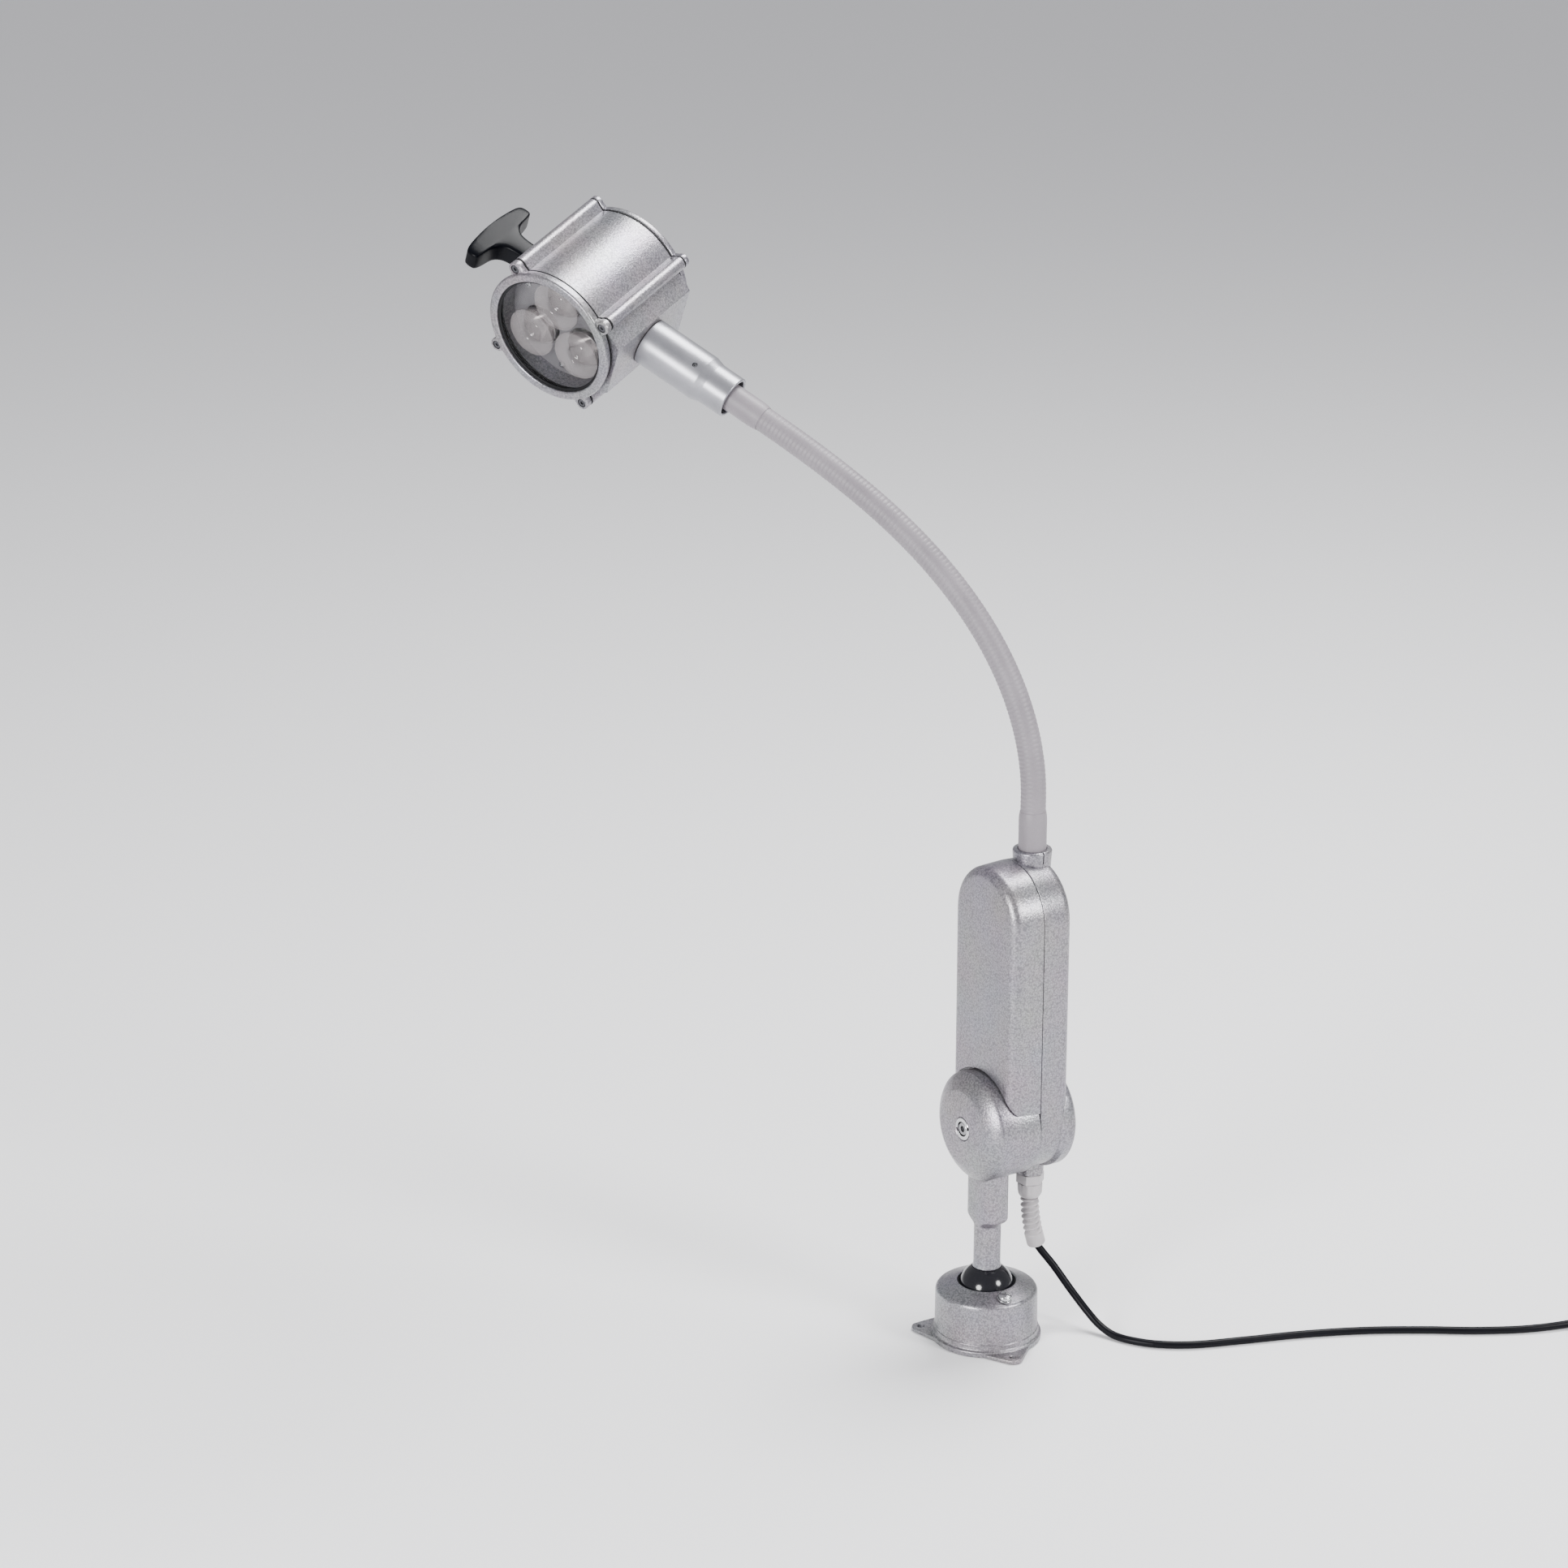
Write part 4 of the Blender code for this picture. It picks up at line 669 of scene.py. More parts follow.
def arm_rings(seam, outer, low_round, inset=0.0, steps=40, corner=8):
    """Sections from the seam out to a broad face, with the rounded edge between."""
    out = 1.0 if outer > seam else -1.0
    bevel_start = outer - out * ARM_BEVEL
    edge_half = ARM_HALF - 0.8
    rings = []
    if inset <= 0.0:
        rings.append(arm_section(ARM_HALF - 0.5, seam, low_round, steps))
        rings.append(arm_section(ARM_HALF, seam + out * 0.5, low_round, steps))
    else:
        rings.append(arm_section(ARM_HALF - inset, seam - out * inset, low_round, steps))
    rings.append(arm_section(edge_half - inset, bevel_start, low_round, steps))
    for i in range(1, corner + 1):
        angle = math.radians(90.0 * i / corner)
        half = edge_half - inset - ARM_BEVEL * (1.0 - math.cos(angle))
        depth = bevel_start + out * (ARM_BEVEL - inset) * math.sin(angle)
        rings.append(arm_section(half, depth, low_round, steps))
    return rings


def make_arm(looks):
    """The two half shells and the screws that hold them."""
    hinge = along_y(0.0, HINGE_Z)
    left = loft("shell_left_look", arm_rings(SEAM_Y - SEAM, ARM_BACK, False))
    hollow = loft("left_hollow", arm_rings(SEAM_Y, ARM_BACK, False, SHELL_WALL, 16, 3))
    carve(hollow, [turned("left_web", rod(DISC_R + 1.2 + SHELL_WALL, -40.0, 40.0), hinge, 64)])
    carve(left, [turned("left_scoop", rod(DISC_R + 1.9, -40.0, 40.0), hinge, 128), hollow])
    finish_piece(left, looks, "hammertone", "arm", ["shell_left"])

    right = loft("shell_right_look", arm_rings(SEAM_Y + SEAM, ARM_FRONT, True))
    bulge = [(0.0, 30.0), (ARM_HALF - 2.0, 30.0), (ARM_HALF - 1.2, 37.0), (DISC_R, 40.5)]
    bulge += disc_edge(BULGE_SHOULDER, BULGE_FACE, BULGE_FACE_R)
    bulge.append((0.0, BULGE_FACE))
    neck_spot = at(0, NECK_Y)
    collar = [(0.0, 362.0), (COLLAR_R - 1.5, 362.0), (COLLAR_R - 0.6, 370.0)]
    collar += arc((COLLAR_R - 1.8, COLLAR_TOP - 2.6), 1.8, 0.0, 90.0, 6) + [(0.0, COLLAR_TOP - 0.8)]
    boss = [(0.0, 124.0), (9.6, 124.0), (10.0, 124.4), (10.0, 140.0), (0.0, 140.0)]
    carve(right, [turned("bulge", bulge, hinge, 128), turned("collar", collar, neck_spot, 64),
                  turned("boss", boss, at(0, GLAND_Y), 64)], "UNION")
    inside = loft("right_hollow", arm_rings(SEAM_Y, ARM_FRONT, True, SHELL_WALL, 16, 3))
    carve(inside, [turned("hub", rod(12.0, -5.0, 60.0), hinge, 32),
                   turned("collar_root", rod(COLLAR_R, 360.0, 390.0), neck_spot, 32)])
    bolt_way = [(0.0, 0.0), (5.3, 0.0), (5.3, 38.0), (10.0, 38.0), (10.0, 51.2), (0.0, 51.2)]
    slit = [(6.0, -0.45), (20.0, -0.45), (20.0, 0.45), (6.0, 0.45)]
    tools = [inside, turned("collar_bore", rod(COLLAR_BORE_R, 350.0, 400.0), neck_spot, 64),
             turned("gland_bore", rod(6.0, 110.0, 150.0), at(0, GLAND_Y), 32),
             turned("bolt_way", bolt_way, hinge, 32), prism("slit", slit, 373.0, 400.0, neck_spot)]
    for i, z in enumerate(SHELL_SCREW_HEIGHTS):
        spot = at(0, 0, z) @ along_y()
        tools.append(turned("screw_way_%d" % i, rod(2.2, 36.0, 60.0), spot, 24))
    carve(right, tools)
    finish_piece(right, looks, "hammertone", "arm", ["shell_right"])
    for i, z in enumerate(SHELL_SCREW_HEIGHTS):
        spot = at(0, 0, z) @ along_y()
        low = ARM_FRONT + 0.3
        head = [(0.0, 40.0), (1.9, 40.0), (1.9, low), (3.6, low), (3.8, low + 0.3), (3.6, low + 1.4)]
        head += [(3.0, low + 1.9), (1.6, low + 2.2), (1.3, low + 1.0), (0.0, low + 0.8)]
        screw = turned("shell_screw_look_%d" % (i + 1), head, spot, 40)
        finish_piece(screw, looks, "zinc", "arm", ["shell_screw_%d" % (i + 1)])


# Cable gland
def guard_point(share):
    """The guard's centre line: straight down from the nut, easing out to the tip's lean."""
    return Vector((0.0, GLAND_Y + (GLAND_TIP[1] - GLAND_Y) * share ** 1.8,
                   GUARD_TOP + (GLAND_TIP[2] - GUARD_TOP) * share))


def guard_ring(share, ahead, radii):
    """A ring round the guard's centre line, with one radius to a point."""
    across = Vector((1.0, 0.0, 0.0))
    side = ahead.cross(across)
    return [guard_point(share) + radius * (math.cos(TURN * k / len(radii)) * across
                                           + math.sin(TURN * k / len(radii)) * side)
            for k, radius in enumerate(radii)]


def make_gland(looks):
    """The cable gland's hexagon body, its fluted nut and the bend guard."""
    spot = at(0, GLAND_Y)
    body = prism("gland_body_look", polygon(10.8, 6, math.radians(10.0)), 116.3, 123.7, spot, 0.6)
    carve(body, [turned("body_way", rod(GLAND_WAY_R, 110.0, 130.0), spot, 32)])
    finish_piece(body, looks, "gland_grey", "arm", ["gland_body"], 25.0)
    flutes = []
    sides = 96
    for z, radius, depth in ((104.0, 6.4, 0.0), (104.6, 7.2, 0.0), (106.2, 8.3, 0.1), (108.2, 9.2, 0.45),
                             (115.2, 9.5, 0.5), (115.7, 9.2, 0.3), (115.9, 8.8, 0.0)):
        flutes.append([(r * math.cos(a), r * math.sin(a), z) for a, r in
                       ((TURN * k / sides, radius - depth * (0.5 + 0.5 * math.cos(TURN * k / 8)))
                        for k in range(sides))])
    nut = loft("gland_nut_look", flutes, spot)
    way = [(0.0, 100.0), (3.5, 100.0), (3.5, 109.0), (GLAND_WAY_R, 109.2), (GLAND_WAY_R, 120.0), (0.0, 120.0)]
    carve(nut, [turned("nut_way", way, spot, 32)])
    finish_piece(nut, looks, "gland_grey", "arm", ["gland_nut"])
    make_guard(looks)


def make_guard(looks):
    """The bend guard: a spiral ridge round a thin tube, and a plain end."""
    rings = []
    steps = GUARD_TURNS * 14
    sides = 40
    for i in range(steps + 1):
        share = SPIRAL_SHARE * i / steps
        ahead = (guard_point(share + 0.01) - guard_point(max(share - 0.01, 0.0))).normalized()
        radii = []
        for k in range(sides):
            phase = GUARD_TURNS * i / steps - k / sides
            ridge = (0.5 + 0.5 * math.cos(TURN * phase)) ** 0.8
            radii.append(GUARD_ROOT_R + GUARD_RIDGE * ridge)
        rings.append(guard_ring(share, ahead, radii))
    for share, radius in ((0.735, 6.2), (0.75, 6.9), (0.77, 7.1), (0.97, 7.1), (0.99, 6.9), (1.0, 6.4)):
        ahead = (guard_point(share) - guard_point(share - 0.02)).normalized()
        rings.append(guard_ring(share, ahead, [radius] * sides))
    guard = loft("bend_guard_look", rings)
    way = [Vector((0.0, GLAND_Y, GUARD_TOP + 2.4))] + [guard_point(0.04 * i) for i in range(27)]
    carve(guard, [loft("guard_way", sweep_rings(way, [GUARD_WAY_R] * len(way), 24))])
    finish_piece(guard, looks, "gland_grey", "arm", ["bend_guard"], 50.0)


# Cord
def smooth_route(points, spacing):
    """A Catmull-Rom curve through the points, sampled about every spacing millimetres."""
    knots = [Vector(p) for p in points]
    knots = [2 * knots[0] - knots[1]] + knots + [2 * knots[-1] - knots[-2]]
    route = []
    for a, b, c, d in zip(knots, knots[1:], knots[2:], knots[3:]):
        steps = max(1, round((c - b).length / spacing))
        for i in range(steps):
            t = i / steps
            route.append(0.5 * (2 * b + (c - a) * t + (2 * a - 5 * b + 4 * c - d) * t ** 2
                                + (3 * b - 3 * c + d - a) * t ** 3))
    route.append(knots[-2])
    return route


def coil_route():
    """Three turns inwards on the floor, three outwards on top of them, and a quarter turn to the far side."""
    radii = [COIL_MEAN_R + 2.0 * CORD_R * step for step in (1, 0, -1, -1, 0, 1)]
    heights = [FLOOR_Z + COIL_LIFT] * 3 + [FLOOR_Z + COIL_LIFT + 2.0 * CORD_R] * 3
    route = []
    per_turn = 48
    for i in range(6 * per_turn + per_turn // 4):
        turn = min(i // per_turn, 5)
        share = i / per_turn - turn
        step = min(max((share - 0.75) / 0.25, 0.0), 1.0) if turn < 5 else 0.0
        step = step * step * (3.0 - 2.0 * step)
        after = min(turn + 1, 5)
        radius = radii[turn] + (radii[after] - radii[turn]) * step
        height = heights[turn] + (heights[after] - heights[turn]) * step
        angle = math.pi - TURN * i / per_turn
        route.append(Vector((COIL_CENTRE[0] + radius * math.cos(angle),
                             COIL_CENTRE[1] + radius * math.sin(angle), height)))
    return route


def split_route(route, lengths):
    """Cut a route into stretches of the given lengths and what is left."""
    parts = []
    part = [route[0]]
    done = 0.0
    targets = list(lengths)
    for a, b in zip(route, route[1:]):
        done += (b - a).length
        part.append(b)
        if targets and done >= targets[0]:
            parts.append(part)
            part = [b]
            done = 0.0
            targets.pop(0)
    parts.append(part)
    return parts


def cord_piece(name, route, looks, nodes=()):
    tube = loft(name, sweep_rings(route, [CORD_R] * len(route), 20))
    return finish_piece(tube, looks, "cord_black", None, nodes, 50.0)


def make_cord(looks):
    """The stretch by the lamp is cut into four pieces that are bound to no body, and the rest lies with the
    base.
    """
    route = smooth_route(CORD_ROUTE, 3.0)[:-1] + coil_way() + smooth_route(CORD_TAIL, 4.0)
    bodies = ("arm", "stem", "ball", "swivel", "base")
    parts = split_route(route, LEAD_LENGTHS)
    for i, (part, first, second) in enumerate(zip(parts, bodies, bodies[1:])):
        piece = cord_piece("cord_lead_%d" % (i + 1), part, looks, ["cord_hanging"] if i == 0 else ())
        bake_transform(piece)
    rest = parts[-1]
    lead = cord_piece("cord_long", rest, looks, ["cord_floor", "cord_coil", "cord_tail"])
    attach(lead, "base")


def coil_way():
    """From the lead's end into the coil, round it, and out towards the plug."""
    entry = [Vector((COIL_CENTRE[0] - COIL_MEAN_R - 2.0 * CORD_R, y, FLOOR_Z + COIL_LIFT))
             for y in (394.0, 399.0, 404.0, 409.0, 413.0)]
    top = FLOOR_Z + COIL_LIFT + 2.0 * CORD_R
    leave = [Vector((COIL_CENTRE[0] + x, TAIL_Y, top)) for x in (0.0, 5.0, 10.0, 15.0, 19.5)]
    return entry + coil_route() + leave


# Gooseneck
def neck_angle(length):
    """Lean from the vertical: the bend is sharpest at the foot and eases off evenly to the head."""
    share = min(max((length - NECK_STRAIGHT) / (NECK_LENGTH - NECK_STRAIGHT), 0.0), 1.0)
    return NECK_BEND * (1.0 - (1.0 - share) ** 2)


def neck_stations(step=0.55):
    """Frames along the neck every step millimetres from its foot: Z along the neck, Y square to its plane."""
    heading = Vector((math.cos(NECK_AZIMUTH), math.sin(NECK_AZIMUTH), 0.0))
    count = math.ceil(NECK_LENGTH / step)
    step = NECK_LENGTH / count
    out = 0.0
    rise = 0.0
    stations = []
    for i in range(count + 1):
        lean = neck_angle(i * step)
        tangent = heading * math.sin(lean) + Vector((0, 0, math.cos(lean)))
        normal = heading * math.cos(lean) - Vector((0, 0, math.sin(lean)))
        place = Matrix((normal, tangent.cross(normal), tangent)).transposed().to_4x4()
        place.translation = Vector((0.0, NECK_Y, COLLAR_TOP)) + heading * out + Vector((0, 0, rise))
        stations.append((i * step, place))
        middle = neck_angle((i + 0.5) * step)
        out += math.sin(middle) * step
        rise += math.cos(middle) * step
    return stations


def neck_joint_length(index):
    """Joints stand where each takes an equal share of the bend."""
    share = 1.0 - math.sqrt(1.0 - (index + 0.5) / NECK_JOINTS)
    return NECK_STRAIGHT + share * (NECK_LENGTH - NECK_STRAIGHT)


def ring_at(place, radius, sides, lift=0.0):
    """A ring in the X-Y plane of a frame, lifted along its Z."""
    return [place @ Vector((radius * math.cos(TURN * k / sides), radius * math.sin(TURN * k / sides), lift))
            for k in range(sides)]


def make_neck(looks):
    """Ribbed stretches, each spanning one joint, and a smooth sleeve at either end."""
    stations = neck_stations()
    sides = 40
    joints = [neck_joint_length(i) for i in range(NECK_JOINTS)]
    cuts = [SLEEVE_LENGTH - 3.0] + [(a + b) / 2.0 for a, b in zip(joints, joints[1:])]
    cuts.append(NECK_LENGTH - SLEEVE_LENGTH + 3.0)
    for i in range(NECK_JOINTS):
        part = [(s, place) for s, place in stations if cuts[i] - 0.3 <= s <= cuts[i + 1] + 0.3]
        rings = []
        for s, place in part:
            dip = (0.5 + 0.5 * math.cos(TURN * s / RIB_PITCH)) ** 4
            rings.append(ring_at(place, NECK_R - 0.32 * dip, sides))
        piece = loft("neck_sheath_%d" % (i + 1), rings)
        finish_piece(piece, looks, "grey_sheath", None, ["neck_link_%d" % (i + 1)], 60.0)
        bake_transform(piece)

    foot = [(s, place) for s, place in stations if s <= SLEEVE_LENGTH]
    rings = [ring_at(foot[0][1], SLEEVE_R, sides, lift) for lift in (-11.0, -2.0)]
    rings += sleeve_rings(foot, lambda s: SLEEVE_LENGTH - s, sides)
    finish_piece(loft("sleeve_foot", rings), looks, "grey_sheath", "arm", ["neck_link_0"], 40.0)
    top = [(s, place) for s, place in stations if s >= NECK_LENGTH - SLEEVE_LENGTH]
    rings = sleeve_rings(top, lambda s: s - NECK_LENGTH + SLEEVE_LENGTH, sides)
    rings.append(ring_at(top[-1][1], SLEEVE_R, sides, 8.0))
    finish_piece(loft("sleeve_head", rings), looks, "grey_sheath", "neck_5", [], 40.0)
    return stations[-1][1]


def sleeve_rings(part, from_edge, sides):
    """A sleeve that thins down onto the ribbed stretch over its last few millimetres."""
    rings = []
    for s, place in part[::4] + part[-1:]:
        share = min(from_edge(s) / 7.0, 1.0)
        radius = NECK_R + 0.15 + (SLEEVE_R - NECK_R - 0.15) * math.sin(share * math.pi / 2.0)
        rings.append(ring_at(place, radius, sides))
    return rings


def make_neck_socket(looks, end):
    """The turned tube that holds the gooseneck's end and carries the head, with its grub screw's hole."""
    face = HEAD_REACH + PAD_X - 0.3
    outline = [(SOCKET_BORE_R, 9.4), (13.4, 9.0), (13.5, 0.8), (14.1, 0.0), (15.4, 0.0)]
    outline += arc((SOCKET_END_R - 0.8, 0.8), 0.8, -60.0, 0.0, 4)
    outline += [(SOCKET_END_R, 18.8), (16.15, 19.6), (17.7, 25.4), (SOCKET_R, 26.4), (SOCKET_R, face - 0.6)]
    outline += [(17.4, face), (7.0, face), (7.0, HEAD_REACH - 38.0), (5.0, HEAD_REACH - 38.0), (5.0, 20.0),
                (SOCKET_BORE_R, 20.0)]
    piece = turned("neck_socket_look", outline, end, 96)
    side = end @ at(0, 0, GRUB_SPOT) @ Matrix.Rotation(GRUB_ANGLE, 4, "Z") @ along_x()
    grub = [(0.0, 10.0), (1.9, 10.0), (1.9, 17.6), (2.5, 18.4), (0.0, 19.0)]
    carve(piece, [turned("grub_way", grub, side, 32)])
    finish_piece(piece, looks, "satin_aluminium", "neck_5", ["neck_socket"])


# Head
def lobed_outline(radius, pad):
    """A circle with four screw ribs, and on the neck side a flat pad with bevelled edges."""
    half_open = math.degrees(math.asin(RIB_R / RIB_RADIUS)) + 1.5
    points = []
    for quarter in range(4):
        middle = 45.0 + 90.0 * quarter
        points.append(on_circle(radius, middle - half_open))
        points += arc(on_circle(RIB_RADIUS, middle), RIB_R, middle - 100.0, middle + 100.0, 16)
        if pad and quarter == 1:
            points.append(on_circle(radius, middle + half_open))
            points += [(PAD_X + 5.5, PAD_HALF + 5.0), (PAD_X, PAD_HALF), (PAD_X, -PAD_HALF),
                       (PAD_X + 5.5, -PAD_HALF - 5.0)]
        else:
            points += arc((0, 0), radius, middle + half_open, middle + 90.0 - half_open, 24)[:-1]
    return points


def rib_spots():
    return [Matrix.Rotation(math.radians(45.0 + 90.0 * i), 4, "Z") @ at(RIB_RADIUS) for i in range(4)]


def make_head(looks, head):
    """Body, gaskets, bezel, rear cover and tie screws, carved in the head's frame and then placed."""
    body = prism("lamp_body_look", lobed_outline(BODY_R, True), BODY_BACK, BODY_FRONT)
    carve(body, [turned("body_bore", rod(BODY_BORE_R, -60.0, 60.0), sides=128),
                 turned("neck_way", rod(NECK_WAY_R, -60.0, -40.0), along_x(), 32),
                 turned("handle_way", rod(3.3, 40.0, 60.0), along_x(), 24)])
    finish_piece(body, looks, "hammertone", "head", ["lamp_body"], place=head)
    for name, low in (("front_gasket", BODY_FRONT + 0.3), ("rear_gasket", BODY_BACK - 1.3)):
        gasket = prism(name + "_look", lobed_outline(BODY_R + 0.35, False), low, low + GASKET_T)
        carve(gasket, [turned("gasket_bore", rod(BODY_BORE_R, -70.0, 70.0), sides=96)])
        finish_piece(gasket, looks, "black_rubber", "head", [name], place=head)

    bezel = prism("front_bezel_look", lobed_outline(BEZEL_R - 1.0, False), BODY_FRONT + 1.6, HEAD_FRONT - 1.6,
                  edge=0.6)
    rim = [(BEZEL_INNER_R, HEAD_FRONT - 3.2), (BEZEL_R - 0.2, HEAD_FRONT - 3.2)]
    rim += arc((BEZEL_R - 1.8, HEAD_FRONT - 1.8), 1.8, 0.0, 90.0, 6)
    rim += arc((BEZEL_INNER_R + 1.6, HEAD_FRONT - 1.6), 1.6, 90.0, 180.0, 6)
    step = [(0.0, BODY_FRONT), (47.7, BODY_FRONT), (47.7, HEAD_FRONT - 3.5),
            (BEZEL_INNER_R + 0.3, HEAD_FRONT - 3.4), (BEZEL_INNER_R + 0.3, HEAD_FRONT + 3.0),
            (0.0, HEAD_FRONT + 3.0)]
    carve(bezel, [turned("bezel_rim", rim, sides=128)], "UNION")
    screw_way = [(0.0, -70.0), (2.3, -70.0), (2.3, HEAD_FRONT - 3.4), (3.5, HEAD_FRONT - 3.2),
                 (3.5, HEAD_FRONT + 3.0), (0.0, HEAD_FRONT + 3.0)]
    ways = [turned("tie_way_%d" % i, screw_way, spot, 32) for i, spot in enumerate(rib_spots())]
    carve(bezel, [turned("bezel_way", step, sides=128)] + ways)
    finish_piece(bezel, looks, "hammertone", "head", ["front_bezel"], place=head)

    cover = prism("rear_cover_look", lobed_outline(BEZEL_R - 1.0, False), HEAD_BACK + 1.4, BODY_BACK - 1.6,
                  edge=0.6)
    crown = [(0.0, HEAD_BACK + 3.0), (BEZEL_R - 1.2, HEAD_BACK + 3.0)]
    crown += arc((BEZEL_R - 3.2, HEAD_BACK + 2.0), 2.0, 0.0, -90.0, 6) + [(0.0, HEAD_BACK)]
    carve(cover, [turned("cover_crown", crown, sides=128)], "UNION")
    finish_piece(cover, looks, "hammertone", "head", ["rear_cover"], place=head)
    for i, spot in enumerate(rib_spots()):
        high = HEAD_FRONT - 2.0
        outline = [(0.0, -40.0), (TIE_R, -40.0), (TIE_R, high - 1.1), (3.1, high - 1.0), (3.1, high - 0.3),
                   (2.8, high), (0.0, high)]
        screw = turned("tie_screw_look_%d" % (i + 1), outline, spot, 32)
        carve(screw, [prism("tie_socket", polygon(1.5, 6), high - 0.9, high + 2.0, spot)])
        finish_piece(screw, looks, "steel", "head", ["tie_screw_%d" % (i + 1)], place=head, look="dark_steel")


def make_optics(looks, head):
    """Glass and seal, and behind them the plate with three lenses, each over a bright cone."""
    glass = turned("front_glass_look", rod(GLASS_R, GLASS_BACK, GLASS_FRONT, 0.3), sides=96)
    finish_piece(glass, looks, "clear_glass", "head", ["front_glass"], place=head)
    seal = [(BEZEL_INNER_R - 1.6, 50.4), (BEZEL_INNER_R + 0.2, 50.4), (BEZEL_INNER_R + 0.2, 51.8),
            (BEZEL_INNER_R - 0.7, 51.9), (BEZEL_INNER_R - 1.6, 51.2)]
    finish_piece(turned("glass_seal_look", seal, sides=96), looks, "black_rubber", "head",
                 ["glass_seal"], place=head)
    plate = turned("lens_plate_look", rod(BODY_BORE_R - 0.3, PLATE_FACE - 2.0, PLATE_FACE), sides=96)
    spots = [Matrix.Rotation(LENS_FIRST_ANGLE + TURN * i / 3, 4, "Z") @ at(LENS_REACH) for i in range(3)]
    carve(plate, [turned("lens_way_%d" % i, rod(15.9, 20.0, 40.0), spot, 64) for i, spot in enumerate(spots)])
    # The plate wears the darker look, not its satin aluminium slot: its grey plus painted shade of the recess
    # behind the glass
    finish_piece(plate, looks, "satin_aluminium", "head", ["lens_plate"], place=head, look="plate_painted_shade")
    dome = [(0.0, 18.5), (7.0, 18.5), (9.5, 23.0), (14.6, PLATE_FACE + 0.6), (16.8, 37.0), (17.6, 40.4),
            (LENS_R - 0.1, 42.6), (LENS_R, 43.0), (LENS_R, 45.0), (LENS_R - 0.4, 45.4), (17.9, 45.4),
            (17.4, 44.7), (9.4, 43.9), (8.8, 44.4), (8.2, 44.0), (7.4, 41.2), (5.4, 39.6), (0.0, 39.2)]
    cup = [(5.2, 19.2), (9.0, 25.0), (12.6, 30.6), (14.4, 35.2), (14.0, 35.6), (12.2, 31.0), (8.6, 25.4),
           (4.8, 19.8)]
    for i, spot in enumerate(spots):
        lens = turned("lens_look_%d" % (i + 1), dome, spot, 72)
        finish_piece(lens, looks, "lens_acrylic", "head", ["lens_%d" % (i + 1)], 24.0, place=head)
        cone = turned("reflector_%d" % (i + 1), cup, spot, 60)
        finish_piece(cone, looks, "satin_aluminium", "head", [], 60.0, head, "reflector")
    low = PLATE_FACE - 1.0
    high = PLATE_FACE + 1.9
    button = [(0.0, low), (2.6, low), (2.6, high - 0.7), (2.0, high), (1.2, high), (1.1, high - 0.9),
              (0.0, high - 0.9)]
    for i in range(3):
        spot = Matrix.Rotation(LENS_FIRST_ANGLE + TURN * (i + 0.5) / 3, 4, "Z") @ at(PLATE_SCREW_REACH)
        screw = turned("plate_screw_%d" % (i + 1), button, spot, 32)
        finish_piece(screw, looks, "zinc", "head", place=head)


def make_handle(looks, head):
    """T-handle, grown from a coarse cage: a post that flares into a bar along the head's axis."""
    post = [(51.7, 8.9), (53.0, 8.9), (60.0, 8.4), (69.0, 8.7), (75.0, 10.2), (79.2, 14.6)]
    bar = [(80.6, 19.5), (81.2, 27.0), (82.4, 32.6), (84.6, 34.0), (90.6, 33.8), (93.4, 31.2), (94.9, 20.0)]
    profile = post + bar + [(95.8, 8.0)]
    mesh_edit = bmesh.new()
    depths = (-8.6, -6.0, 6.0, 8.6)
    grid = [[[mesh_edit.verts.new((x, z, y * side)) for z in depths] for x, y in profile]
            for side in (1.0, -1.0)]
    for rows in grid:
        for near, far in zip(rows, rows[1:]):
            for k in range(3):
                mesh_edit.faces.new((near[k], near[k + 1], far[k + 1], far[k]))
    for k in (0, 3):
        for i in range(len(profile) - 1):
            mesh_edit.faces.new((grid[0][i][k], grid[0][i + 1][k], grid[1][i + 1][k], grid[1][i][k]))
    for i in (0, len(profile) - 1):
        for k in range(3):
            mesh_edit.faces.new((grid[0][i][k], grid[0][i][k + 1], grid[1][i][k + 1], grid[1][i][k]))
    handle = to_object("t_handle_look", mesh_edit, head)
    finer = handle.modifiers.new("finer", "SUBSURF")
    finer.levels = 3
    finer.render_levels = 3
    finish_piece(handle, looks, "black_plastic", "head", ["t_handle"], 80.0)


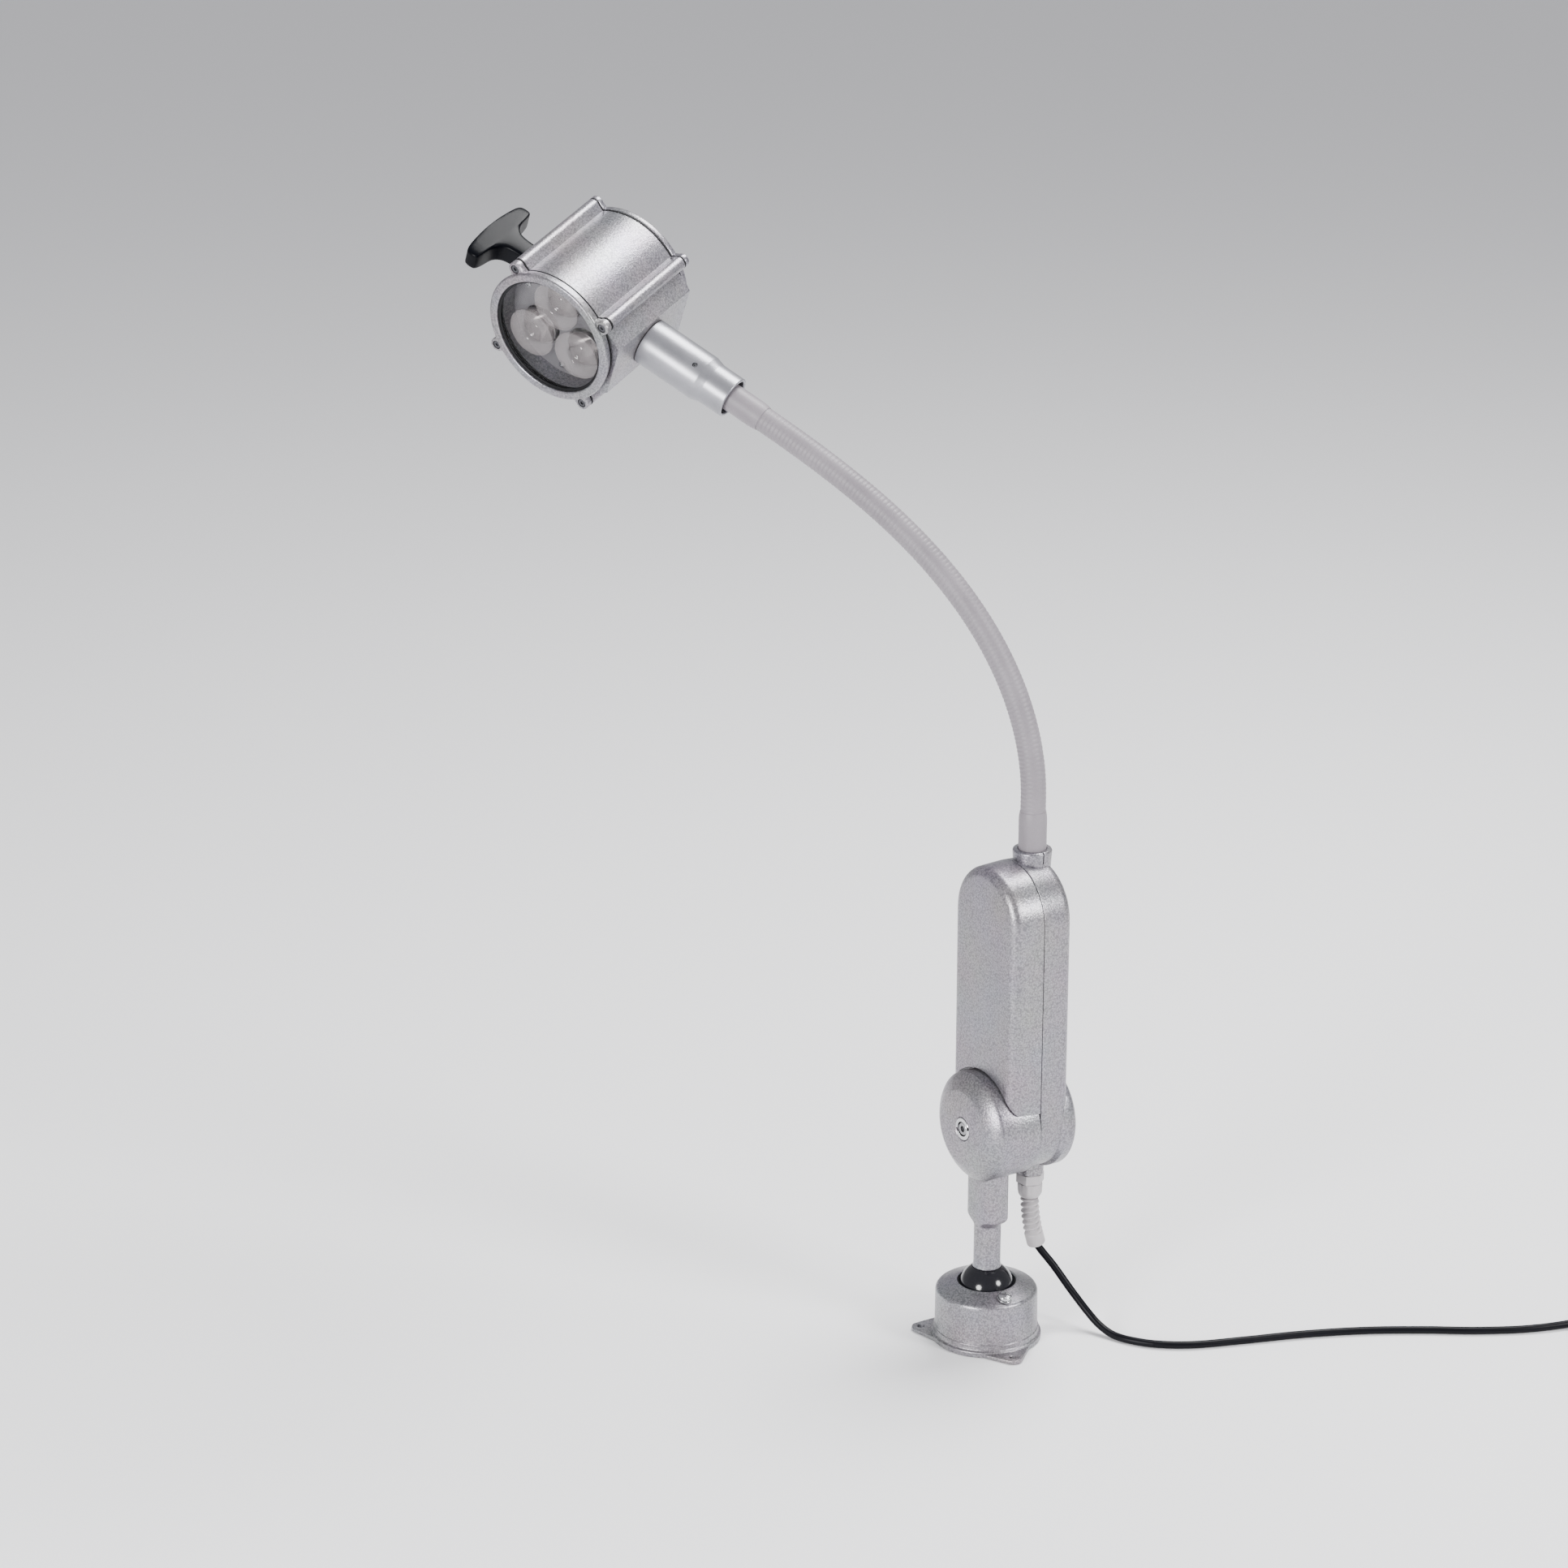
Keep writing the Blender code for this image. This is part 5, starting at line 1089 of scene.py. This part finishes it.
# Studio
def make_studio():
    floor_edit = bmesh.new()
    bmesh.ops.create_grid(floor_edit, x_segments=1, y_segments=1, size=FLOOR_HALF)
    floor = to_object("studio_floor", floor_edit, at(0, 0, -FLOOR_DROP))
    pale = bpy.data.materials.new("studio_pale")
    pale.use_nodes = True
    paint = pale.node_tree.nodes["Principled BSDF"]
    paint.inputs["Base Color"].default_value = (0.86, 0.86, 0.87, 1.0)
    paint.inputs["Roughness"].default_value = 0.9
    floor.data.materials.append(pale)
    world = bpy.data.worlds.new("studio")
    world.use_nodes = True
    sky = world.node_tree.nodes["Background"]
    sky.inputs["Color"].default_value = (0.96, 0.96, 1.0, 1.0)
    sky.inputs["Strength"].default_value = WORLD_STRENGTH
    bpy.context.scene.world = world
    for name, place, width, power in LIGHTS:
        add_light(name, place, width, power)


def add_light(name, place, width, power):
    light = bpy.data.lights.new(name, "AREA")
    light.shape = "DISK"
    light.size = width * MM
    light.energy = power
    holder = bpy.data.objects.new(name, light)
    bpy.context.scene.collection.objects.link(holder)
    aim = Vector(LIGHT_AIM) - Vector(place)
    holder.location = Vector(place) * MM
    holder.rotation_euler = aim.to_track_quat("-Z", "Y").to_euler()


def make_camera():
    """A camera at the chosen azimuth and elevation, moved aside and up so that the lamp is framed as seen."""
    right = Vector((math.cos(CAMERA_AZIMUTH), math.sin(CAMERA_AZIMUTH), 0.0))
    back = Vector((math.sin(CAMERA_AZIMUTH) * math.cos(CAMERA_ELEVATION),
                   -math.cos(CAMERA_AZIMUTH) * math.cos(CAMERA_ELEVATION), math.sin(CAMERA_ELEVATION)))
    up = back.cross(right)
    data = bpy.data.cameras.new("camera")
    data.sensor_width = 36.0
    data.lens = CAMERA_LENS
    data.clip_end = 100.0
    camera = bpy.data.objects.new("camera", data)
    bpy.context.scene.collection.objects.link(camera)
    place = Matrix((right, up, back)).transposed().to_4x4()
    place.translation = (back * CAMERA_DISTANCE + right * CAMERA_SIDE + up * CAMERA_RISE) * MM
    camera.matrix_world = place
    bpy.context.scene.camera = camera


def dress_cad(looks):
    """Give every CAD node that stays in view the finish of its slot."""
    for part in frame["record"]["subparts"]:
        node = frame["nodes"][part["node"]]
        for place in node.material_slots:
            place.material = looks[part["material_slot"]]


def main():
    looks = all_materials()
    make_camera()
    make_cord(looks)
    dress_cad(looks)
    make_base(looks)
    make_ball(looks)
    make_stem(looks)
    make_arm(looks)
    make_gland(looks)
    neck_end = make_neck(looks)
    make_neck_socket(looks, neck_end)
    roll = Matrix.Rotation(HEAD_ROLL, 4, "Z") @ Matrix.Rotation(-math.pi / 2.0, 4, "Y")
    head = neck_end @ at(0, 0, HEAD_REACH) @ roll
    make_head(looks, head)
    make_optics(looks, head)
    make_handle(looks, head)
    make_studio()


main()
